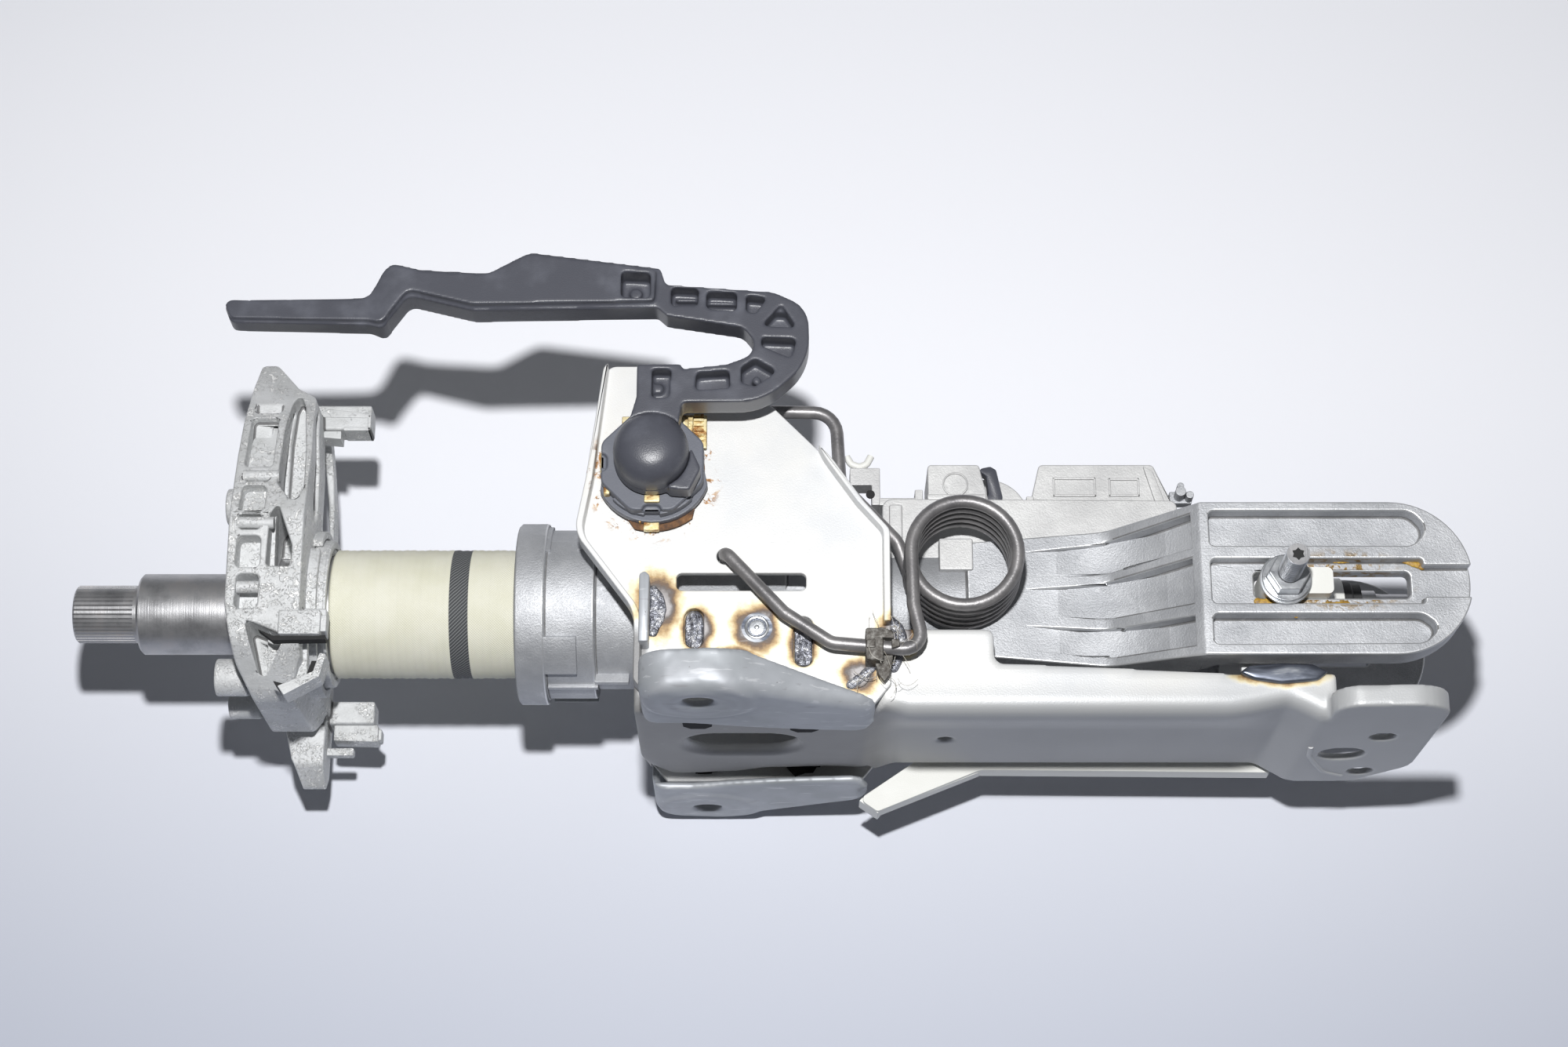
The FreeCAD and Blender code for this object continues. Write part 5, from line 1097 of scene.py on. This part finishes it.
def roll_front(mesh):
    """Rolls the front plate's edges and its slot's lip inwards."""
    for vertex, x, y, z in placed(mesh):
        if not 212 < x < 306 or y > -40 or abs(z) > 45.2:
            continue
        share = min(1, (-40 - y) / 10.5)
        rise = 0
        flat = front_edge(x)
        if abs(z) > flat and flat < 44:
            rise += 4.6 * ((abs(z) - flat) / (45.2 - flat)) ** 1.6
        lip = slot_distance(x, z)
        if lip < 4 and y < -46:
            rise += 2 * (1 - max(lip, 0) / 4) ** 2
        vertex.co.y += rise * share * MM
        if z < -12 and x < 236:
            # the lower corner at the wheel end is cut away in a wide curve
            cut = 17 * min(1, (-12 - z) / 33) ** 2.2
            vertex.co.x += cut * (1 - (x - 212) / 24) * share * MM


def swell_side(mesh):
    """Fills the channel's lit corner behind the step, which is fuller than the rest of its side."""
    for vertex, x, y, z in placed(mesh):
        if 298 < x < 459 and y < -32:
            along = ease((x - 299) / 14) * ease((459 - x) / 34)
            vertex.co.y -= 5 * along * ease((z - 6) / 32) * ease((-33 - y) / 9) * MM


def placed(mesh):
    """Each vertex with its place in millimetres; the mesh is updated after the last one."""
    for vertex in mesh.vertices:
        yield vertex, *(vertex.co / MM)
    mesh.update()


def ease(share):
    """0 to 1 with smooth ends."""
    share = max(0, min(1, share))
    return share * share * (3 - 2 * share)


def mark_facing_shade(mesh):
    """Notes on each vertex, for painted shade, how far the channel's drawn side faces away from its lit
    side.
    """
    values = []
    for vertex in mesh.vertices:
        turned = ease((-vertex.normal.y - 0.45) / 0.5)
        values.append(turned if vertex.co.y < -0.030 else 0)
    mesh.attributes.new("bare", "FLOAT", "POINT").data.foreach_set("value", values)


def dish_ear(mesh, side):
    """Presses the shallow seat and its rings round the ear's hole."""
    for vertex, x, y, z in placed(mesh):
        reach = math.hypot((x - EAR_HOLE_X) * 0.92, z - EAR_HOLE_Z * side)
        if reach < 21 and y < -50 and abs(z) > 50:
            lip = max(0, 1 - max(0, reach - 5.4) / 3)
            vertex.co.y += (-0.9 * ease((21 - reach) / 4) + 0.8 * lip * lip) * MM


class COLUMN_OT_bracket(bpy.types.Operator):
    """Press the bracket's sheets: channel, side plates, cradle and dished ears"""

    bl_idname = "column.bracket"
    bl_label = "Pressed bracket"

    def execute(self, context):
        self.channel()
        for node in ("side_plate_near", "side_plate_far", "pivot_cradle"):
            dress(node + "_pressing", node, "bracket", "plated_sheet", sizes().sheet_round)
        for node, side in (("mount_ear_near", 1), ("mount_ear_far", -1)):
            self.ear(node, side)
        tab = prism([(214.9, -29), (218.4, -29), (218.6, -4), (216.9, -2.3), (214.9, -3.4)],
                    47.6, 57.8, 0.7)
        place("locating_tab", tab, "bracket", "grey_sheet")
        return {"FINISHED"}

    def channel(self):
        mesh = remeshed([merged_copy("rail_channel")], 1.05, 2, "plated_sheet")
        roll_front(mesh)
        swell_side(mesh)
        mark_facing_shade(mesh)
        piece = place("rail_channel_pressing", mesh, "bracket", "plated_sheet")
        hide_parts("rail_channel")
        # painted shade: dark patches on the front plate stand for the shade seen through its notches
        # beside the ears
        notch_shades = []
        for x, half, low, high in ((235.5, 6.5, 23, 43), (274.5, 6.5, 18.4, 43),
                                   (235.5, 6, -45.6, -41), (274.5, 6.5, -45.6, -41)):
            deep = high - low
            foot = min(3, deep * 0.3)
            shape = [(-1, deep), (-0.8, foot), (-0.4, 0), (0.4, 0), (0.8, foot), (1, deep)]
            notch_shades.append(prism([(x + half * u, low + v) for u, v in shape], -51.6, -49, 0, "XZ"))
        shadows = joined(notch_shades)
        roll_front(shadows)
        place("front_edge_notch_shade", shadows, "bracket", "plated_sheet", "cavity_shade")
        lip = rounded([mm(x, -53.4, z) for x, z in ((462, 7), (463.2, -5), (467.6, -17), (472, -27),
                                                    (480, -32.5))], 9 * MM)
        place("wing_pressed_lip", tube(lip, 1.2 * MM, 12), "bracket", "plated_sheet")

    def ear(self, node, side):
        root = [(228, 46), (240, 42.8), (250, 40.2), (261.4, 38), (277, 36), (293.2, 34.6),
                (297, 37), (299.4, 46)]
        floor = prism([(x, z * side) for x, z in root], -55.9, -53, 0, "XZ")
        mesh = remeshed([merged_copy(node), floor], 0.8, 7, "grey_sheet")
        dish_ear(mesh, side)
        piece = place(node + "_pressing", mesh, "bracket", "grey_sheet")
        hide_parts(node)


class COLUMN_OT_trim(bpy.types.Operator):
    """Finish the guide strip and the spring clip, with the lint that it has caught"""

    bl_idname = "column.trim"
    bl_label = "Strip and clip"

    def execute(self, context):
        dress("guide_strip_moulding", "guide_strip", "bracket", "white_plastic", 0.0003)
        lips = [
            prism([(341, -48.6), (455, -49.5), (455, -47.6), (341, -46.6)], -53.5, -46.9, 0.3),
            prism([(303, -65), (343, -48.8), (342.4, -47), (302.6, -62.8)], -53.5, -46.9, 0.3),
            prism([(296, -60.2), (303.2, -65.2), (304.6, -63.6), (297.4, -58.8)], -57, -46.9, 0.3),
            prism([(322, -42.6), (455, -45), (455, -43.8), (323, -41.4)], -49.4, -46.9, 0.3),
        ]
        place("guide_strip_lips", joined(lips), "bracket", "white_plastic")
        dress("spring_clip_pressing", "spring_clip", "bracket", "zinc_hardware", 0.0005,
              finish="dirty_sheet")
        jaws = [
            prism([(299.2, -24.9), (301.6, -23.6), (306, -25.2), (306.4, -28), (299, -27.6)],
                  48.1, 58, 0.5),
            prism([(298.8, -33), (306.2, -32.4), (305, -40), (302.9, -42.6), (300.8, -40)],
                  48.1, 53, 0.6),
            prism([(296.4, -31.6), (299.6, -31.6), (299.6, -28), (296.4, -28.6)], 50, 58.4, 0.5),
            prism([(305.4, -31.8), (308.4, -31), (308.2, -28.4), (305.4, -28.2)], 50, 58.4, 0.5),
        ]
        place("spring_clip_jaws", joined(jaws), "bracket", "zinc_hardware", "dirty_sheet")
        place("clip_lint", self.lint(), "bracket", "woven_tape", "lint_fibre")
        return {"FINISHED"}

    def lint(self):
        chance = random.Random(5)
        strands = []
        for _ in range(sizes().lint_count):
            here = mm(chance.uniform(297, 310), chance.uniform(-42, -24), chance.uniform(49.5, 58))
            turn = chance.uniform(0, 2 * math.pi)
            curl = chance.uniform(-0.75, 0.75)
            path = [here]
            for _ in range(9):
                here = here + mm(1.05 * math.cos(turn), 1.05 * math.sin(turn), chance.uniform(-0.25, 0.3))
                turn += curl * 0.5 + chance.uniform(-0.2, 0.2)
                path.append(here)
            strands.append(tube(path, chance.uniform(0.07, 0.14) * MM, 5))
        return joined(strands)


class COLUMN_OT_welds(bpy.types.Operator):
    """Lay the bracket's welds: crescent, plug, slots, flange and the seams at the spring clip"""

    bl_idname = "column.welds"
    bl_label = "Welds"

    def execute(self, context):
        ripples = ripple_tree()
        face = PLATE_FACE
        seams = [
            ([(219.6, -6.4), (221.8, -9), (222.6, -13.6), (221.8, -18.6), (219.8, -22.8)],
             face - 0.3, 1.7, 0.75),
            ([(234, -15.6), (234.9, -20.5), (234.2, -27)], face - 1.7, 1.5, 0.8),
            ([(236.6, -17), (236.9, -22), (236, -28.4)], face - 1.9, 1.3, 0.8),
            ([(273, -19.6), (274, -26), (273.2, -33.6)], face - 1.7, 1.5, 0.8),
            ([(275.6, -21), (276, -27), (275.2, -32.4)], face - 1.9, 1.2, 0.8),
            ([(305.4, -17.6), (308.6, -20.6), (309.8, -25.4), (308.4, -30.6), (306.4, -35)],
             face - 2.8, 2.2, 0.6),
            ([(291, -42.4), (294.6, -39.6), (298.4, -36.2)], face - 0.4, 1.9, 0.55),
        ]
        beads = [
            prism([(218.4, -4.6), (221.4, -6.2), (223.9, -10), (224.6, -14), (223.6, -18.6),
                   (221.2, -22.4), (218.4, -24.6)], face - 0.8, face + 0.7, 0.6),
            prism(stadium(234.5, -21, 4, 3.3), face - 3.2, face - 1.2, 0.5),
            prism(stadium(274, -26, 6, 3.3), face - 3.2, face - 1.2, 0.5),
        ]
        for points, height, bead, flat in seams:
            path = polyline([mm(x, y, height) for x, y in points])
            beads.append(ripples.run(path, {"Spacing": sizes().weld_spacing, "Bead": bead * MM,
                                            "Flatness": flat}))
        place("bracket_welds", remeshed(beads, 0.36, 2, "weld_metal"), "bracket", "plated_sheet")
        softened = [("SUBSURF", {"levels": 2, "render_levels": 2})]
        dimple = baked(prism(circle(*PLUG_WELD, 2.9, 28), face - 0.5, face + 0.35, 0.3), softened)
        pip = prism(circle(*PLUG_WELD, 0.9, 16), face, face + 0.9, 0.35)
        rim = tube(ring_points(*PLUG_WELD, 3.9, 40, face), 0.62 * MM, 10)
        place("plug_weld_core", joined([dimple, pip, rim]), "bracket", "plated_sheet", "zinc_hardware")
        scorch = prism(circle(*PLUG_WELD, 5.6, 32), face - 0.4, face + 0.12, 0)
        place("plug_weld_scorch", scorch, "bracket", "plated_sheet", "weld_scale")
        lens = baked(prism([(430.5, -37.2), (434.5, -34.4), (446, -33.5), (457.5, -33.9), (463.2, -36.8),
                            (459, -40.2), (446, -41.4), (436, -39.9)], 43.2, 47, 1.3), softened)
        place("flange_weld", lens, "bracket", "plated_sheet", "weld_scale")
        return {"FINISHED"}


class COLUMN_OT_lever(bpy.types.Operator):
    """Mould the release lever and its dome"""

    bl_idname = "column.lever"
    bl_label = "Release lever"

    def execute(self, context):
        extras = [
            # ribs across the hook's pockets, and round pips on their floors
            prism([(259.6, 93.6), (272.4, 93.2), (272.4, 94.4), (259.6, 94.8)], 64, 70.2, 0),
            prism([(239.4, 97.6), (249.4, 97.4), (249.4, 98.6), (239.4, 98.8)], 64, 68, 0),
            block((227, 98.8, 64), (235.4, 100, 68), 0),
            prism(circle(212.4, 102.4, 2.3, 20), 64, 67.2, 0),
            prism(circle(221.2, 64.8, 2, 20), 64, 66.8, 0),
            prism(circle(257, 66.8, 1.6, 20), 64, 70, 0),
            block((213.4, 53.6, 61), (219, 72, 72), 0),
        ]
        mesh = remeshed([merged_copy("lever_arm")] + extras, 0.62, 4, "black_plastic")
        self.slim_grip(mesh)
        piece = place("lever_moulding", mesh, "lever", "black_plastic")
        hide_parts("lever_arm")
        piece = place("dome_moulding", self.dome(), "lever", "black_plastic")
        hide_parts("dome_cap")
        return {"FINISHED"}

    def slim_grip(self, mesh):
        """Tapers the lever's grip towards its free end."""
        for vertex, x, y, z in placed(mesh):
            past = GRIP_ROOT - x
            if past > 0:
                thin = 1 - ease(past / 8) * (0.22 + 0.06 * past / GRIP_LENGTH)
                vertex.co.y = (GRIP_SEAT_Y + (y - GRIP_Y) * thin) * MM
                vertex.co.z = (GRIP_Z + (z - GRIP_Z) * thin) * MM

    def dome(self):
        """A turned shell, flat in the middle and full at its shoulder."""
        profile = [(0, 80), (4, 79.9), (7.4, 79.3), (10.2, 78), (12.2, 76), (13.3, 73.6),
                   (13.7, 71), (13.7, 66), (8.5, 66), (8.5, 74), (0, 74)]
        work = bmesh.new()
        sides = 56
        rings = []
        for radius, z in profile:
            if radius == 0:
                rings.append([work.verts.new(CLAMP + mm(0, 0, z))] * sides)
            else:
                rings.append([work.verts.new(CLAMP + mm(u, v, z))
                              for u, v in circle(0, 0, radius, sides)])
        for first, second in zip(rings, rings[1:]):
            for s in range(sides):
                corners = [first[s], second[s], second[(s + 1) % sides], first[(s + 1) % sides]]
                work.faces.new(list(dict.fromkeys(corners)))
        return from_bmesh(work, "dome", 50)


class COLUMN_OT_clamp(bpy.types.Operator):
    """Dress the clamp's ring and disc and add its rusty washer, brass tabs and toothed plate"""

    bl_idname = "column.clamp"
    bl_label = "Clamp"

    def execute(self, context):
        dress("cam_ring_moulding", "cam_ring", "tilt_carrier", "dark_plastic", 0.0008)
        dress("pressure_disc_stamping", "pressure_disc", "pressure", "brass_tint", 0.0004)
        x, y = CLAMP.x / MM, CLAMP.y / MM
        rim = fan(x, y, 21.3, 206, 345, 9)
        steps = [prism(rim + [(x + 18, y + 3), (x + 17, y + 12), (x - 17, y + 12), (x - 18, y + 2)],
                       49.9, 53.6, 0.6)]
        for start, end, radius, low, high in ((222, 262, 19.6, 53.3, 56), (278, 322, 19.8, 53.3, 57.2),
                                              (186, 216, 18.9, 55, 59)):
            rim = fan(x, y, radius, start, end + 1, 8)
            steps.append(prism(rim + fan(x, y, 15, end, start - 1, -8), low, high, 0.5))
        place("clamp_lower_ring", joined(steps), "pressure", "dark_plastic")
        washer = fan(x, y, 23.6, 254, 312, 6) + fan(x, y, 19, 330, 570, 12)
        place("clamp_rusty_washer", prism(washer, 49.25, 50.3, 0.25), "pressure", "brass_tint",
              "rusty_steel")
        tabs = [
            block((216.3, 22.9, 58.6), (222, 25.6, 60.9), 0.4),
            block((215.8, 15.1, 49.6), (221.6, 18.9, 52.4), 0.5),
            block((201.3, 27.4, 52.6), (203.6, 34.5, 57), 0.5),
            block((199.8, 36, 51), (202.6, 44.5, 54.6), 0.6),
            block((229, 47.5, 49.6), (238.6, 60.6, 51.4), 0.5),
            block((231.6, 49, 51), (233.6, 59, 54.2), 0.4),
            block((207.2, 52, 49.6), (213.6, 60, 51.6), 0.5),
        ]
        place("clamp_brass_tabs", joined(tabs), "pressure", "brass_tint")
        fins = fin_tree()
        rows = [fins.run(polyline([mm(235.6, 48.5, 52.1), mm(235.6, 60, 52.1)]),
                         {"Pitch": 0.0019, "Along": 0.0036, "Wide": 0.0009, "Tall": 0.0014}),
                fins.run(polyline([mm(206.6, 23.2, 51.8), mm(214.6, 19, 51.8)]),
                         {"Pitch": 0.0022, "Along": 0.0008, "Wide": 0.0024, "Tall": 0.0026})]
        place("clamp_teeth", joined(rows), "pressure", "brass_tint")
        return {"FINISHED"}


class COLUMN_OT_spring(bpy.types.Operator):
    """Wind the balance spring with its two legs"""

    bl_idname = "column.spring"
    bl_label = "Balance spring"

    def execute(self, context):
        centre = mm(332.6, 6.5, 0)
        radius, pitch, turns, top = 0.0195, 0.00515, 5, 0.0542
        low = top - pitch * turns
        left = centre.x - radius
        path = rounded([
            (0.2456, 0.0065, 0.0455), (0.2456, 0.0065, top - 0.0015), (0.267, -0.017, top - 0.0005),
            (0.284, -0.0286, top), (left + 0.0045, -0.0315, top), (left + 0.0005, -0.014, top),
            (left, centre.y, top)], 0.007)
        steps = int(40 * turns)
        for i in range(1, steps):
            angle = math.pi - 2 * math.pi * i / 40
            path.append(centre + Vector((radius * math.cos(angle), radius * math.sin(angle),
                                         top - pitch * i / 40)))
        path += rounded([
            (left, centre.y, low), (left - 0.004, centre.y + 0.012, 0.030), (0.288, 0.0415, 0.030),
            (0.2865, 0.070, 0.030), (0.262, 0.0705, 0.030)], 0.009)
        wire = tube(path, sizes().wire_radius, 18)
        piece = place("balance_spring_wire", wire, None, "spring_steel")
        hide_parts("balance_spring")
        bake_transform(piece)
        return {"FINISHED"}


def rounded(points, radius, steps=6):
    """Points along a path with its inner corners rounded."""
    points = [Vector(p) for p in points]
    path = [points[0]]
    for before, corner, after in zip(points, points[1:], points[2:]):
        back, ahead = before - corner, after - corner
        half = back.angle(ahead) / 2
        reach = min(0.45 * back.length, 0.45 * ahead.length, radius / math.tan(half))
        bend = reach * math.tan(half)
        back.normalize()
        ahead.normalize()
        centre = corner + (back + ahead).normalized() * (bend / math.sin(half))
        start = corner + back * reach - centre
        axis = ahead.cross(back)
        sweep = math.pi - 2 * half
        for i in range(steps + 1):
            path.append(centre + Matrix.Rotation(sweep * i / steps, 3, axis) @ start)
    path.append(points[-1])
    return path


class COLUMN_OT_sleeve(bpy.types.Operator):
    """Wrap the jacket in its woven sleeve"""

    bl_idname = "column.sleeve"
    bl_label = "Woven sleeve"

    def execute(self, context):
        low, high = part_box("woven_sleeve")
        outer = (high[1] - low[1]) / 2
        inner = outer - 0.0025
        work = bmesh.new()
        wrap = work.loops.layers.uv.new("Wrap")
        sides, runs = 96, 90
        rings = []
        for i in range(runs + 1):
            x = low[0] + (high[0] - low[0]) * i / runs
            swell = 0.00012 * math.sin(i * 2.1) + 0.00008 * math.sin(i * 0.7)
            radius = outer - 0.0003 + swell - (0.0009 if i == 0 else 0)
            rings.append([work.verts.new((x, y, z)) for y, z in circle(0, 0, radius, sides)])
        for x in (high[0], low[0]):
            rings.append([work.verts.new((x, y, z)) for y, z in circle(0, 0, inner, sides)])
        rings.append(rings[0])
        for first, second in zip(rings, rings[1:]):
            for s in range(sides):
                face = work.faces.new((first[s], second[s], second[(s + 1) % sides],
                                       first[(s + 1) % sides]))
                for loop, turn in zip(face.loops, (s, s, s + 1, s + 1)):
                    loop[wrap].uv = (loop.vert.co.x, turn * 2 * math.pi * outer / sides)
        piece = place("sleeve_weave", from_bmesh(work, "sleeve", 60), "column", "woven_tape")
        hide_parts("woven_sleeve")
        return {"FINISHED"}


class COLUMN_OT_hardware(bpy.types.Operator):
    """Finish the pivot's nuts, washers and studs, with their threads and the grease round them"""

    bl_idname = "column.hardware"
    bl_label = "Pivot hardware"

    def execute(self, context):
        threads = thread_tree()
        pitch = sizes().thread_pitch
        paths = []
        sockets = []
        for side in (1, -1):
            start = Vector((PIVOT.x, PIVOT.y, side * 0.0605))
            end = Vector((PIVOT.x, PIVOT.y, side * 0.0785))
            paths.append(threads.run(polyline([start, end]), {"Pitch": pitch, "Radius": 0.0039,
                                                              "Depth": 0.00032}))
            # painted shade: a thin dark star on each stud's end stands for its socket
            star = [(PIVOT.x / MM + r * math.cos(a), PIVOT.y / MM + r * math.sin(a))
                    for r, a in ((2.4 if i % 2 else 1.7, math.pi * i / 6) for i in range(12))]
            levels = sorted((side * 78.6, side * 79.06))
            sockets.append(prism(star, levels[0], levels[1], 0))
        place("pivot_threads", joined(paths), "bracket", "zinc_hardware")
        place("stud_socket_shade", joined(sockets), "bracket", "turned_steel", "cavity_shade")
        for node in ("pivot_nuts", "pivot_washers"):
            dress(node + "_finished", node, "bracket", "zinc_hardware", 0.0004)
        ripples = ripple_tree("old_grease")
        blobs = []
        for points, bead in (([(436, 6.2), (442, 8.2), (448, 8.8), (458, 7), (471, 5.8), (483, 7.8),
                               (492, 6.4), (499.5, 3.4)], 1.5),
                             ([(439, -10), (446, -10.8), (453, -12.9), (462, -12), (471, -11.2)], 1.6),
                             ([(449, -11.6), (452.5, -15.4)], 1.1), ([(478, 7.4), (484, 9.4)], 1.3)):
            blobs.append(ripples.run(polyline([mm(x, y, 45.4) for x, y in points]),
                                     {"Spacing": 0.0016, "Bead": bead * MM, "Flatness": 0.42, "Seed": 9}))
        place("slot_grease", remeshed(blobs, 0.34, 2, "old_grease"), "column", "seal_rubber")
        return {"FINISHED"}


class COLUMN_OT_stage(bpy.types.Operator):
    """Set the floor, the lights and the camera"""

    bl_idname = "column.stage"
    bl_label = "Stage"

    def execute(self, context):
        colors = context.scene.stage_colors
        level = CAD_BOX[0][2] - 0.0005
        mesh = bpy.data.meshes.new("floor")
        square = oblong(-FLOOR_HALF, -FLOOR_HALF, FLOOR_HALF, FLOOR_HALF)
        mesh.from_pydata([(x, y, level) for x, y in square], [], [(0, 1, 2, 3)])
        paint = Paint("floor_paper", roughness=0.6)
        # painted light and shade: the floor is lightest round a point near the object, and darker and
        # bluer farther off, fastest along Y
        edge = paint.distance((0.40, 0.25, level), (0.35, 1.3, 0.0)).step(0.12, 0.66)
        shaded = tuple(value * share for value, share in zip(colors.floor, (0.50, 0.53, 0.60)))
        mesh.materials.append(paint.finish(paint.mix(tuple(colors.floor), shaded, edge)))
        floor = bpy.data.objects.new("floor", mesh)
        context.scene.collection.objects.link(floor)
        floor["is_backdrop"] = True
        for values in LAMPS:
            self.lamp(*values)
        self.surround(tuple(colors.surround))
        self.camera()
        context.scene.view_settings.view_transform = "Standard"
        return {"FINISHED"}

    def lamp(self, name, spot, aim, width, power):
        data = bpy.data.lights.new(name, "AREA")
        data.shape = "DISK"
        data.size = width
        data.energy = power
        self.aimed(name, data, spot, aim)

    def aimed(self, name, data, spot, aim):
        item = bpy.data.objects.new(name, data)
        item.location = spot
        item.rotation_euler = (Vector(aim) - Vector(spot)).to_track_quat("-Z", "Y").to_euler()
        bpy.context.scene.collection.objects.link(item)
        return item

    def surround(self, color):
        world = bpy.data.worlds.new("surround")
        bpy.context.scene.world = world
        world.use_nodes = True
        back = world.node_tree.nodes["Background"]
        back.inputs["Color"].default_value = (*color, 1.0)
        back.inputs["Strength"].default_value = SURROUND_STRENGTH

    def camera(self):
        data = bpy.data.cameras.new("photo_camera")
        data.sensor_width = 36.0
        data.lens = CAMERA_LENS
        data.clip_start = 0.01
        bpy.context.scene.camera = self.aimed("photo_camera", data, CAMERA_PLACE, CAMERA_AIM)


OPERATORS = (COLUMN_OT_finishes, COLUMN_OT_castings, COLUMN_OT_lock, COLUMN_OT_carrier,
             COLUMN_OT_bracket, COLUMN_OT_trim, COLUMN_OT_welds, COLUMN_OT_lever, COLUMN_OT_clamp,
             COLUMN_OT_spring, COLUMN_OT_sleeve, COLUMN_OT_hardware, COLUMN_OT_stage)


class COLUMN_PT_panel(bpy.types.Panel):
    """Lists the column's pieces"""

    bl_idname = "COLUMN_PT_panel"
    bl_label = "Steering column"
    bl_space_type = "VIEW_3D"
    bl_region_type = "UI"
    bl_category = "Column"

    def draw(self, context):
        for group in (context.scene.column_sizes, context.scene.stage_colors):
            for name in group.bl_rna.properties.keys():
                if name not in ("rna_type", "name"):
                    self.layout.prop(group, name)
        for item in OPERATORS:
            self.layout.operator(item.bl_idname)


CLASSES = (ColumnSizes, StageColors, COLUMN_PT_panel) + OPERATORS


def register():
    for item in CLASSES:
        bpy.utils.register_class(item)
    bpy.types.Scene.column_sizes = bpy.props.PointerProperty(type=ColumnSizes)
    bpy.types.Scene.stage_colors = bpy.props.PointerProperty(type=StageColors)


def unregister():
    del bpy.types.Scene.stage_colors
    del bpy.types.Scene.column_sizes
    for item in reversed(CLASSES):
        bpy.utils.unregister_class(item)


def corners(box):
    return [list(map(float, corner)) for corner in box]


def main():
    register()
    for item in OPERATORS:
        group, name = item.bl_idname.split(".")
        getattr(getattr(bpy.ops, group), name)()
    {"cad": corners(CAD_BOX), "visual": corners(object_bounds())}


if __name__ == "__main__":
    main()
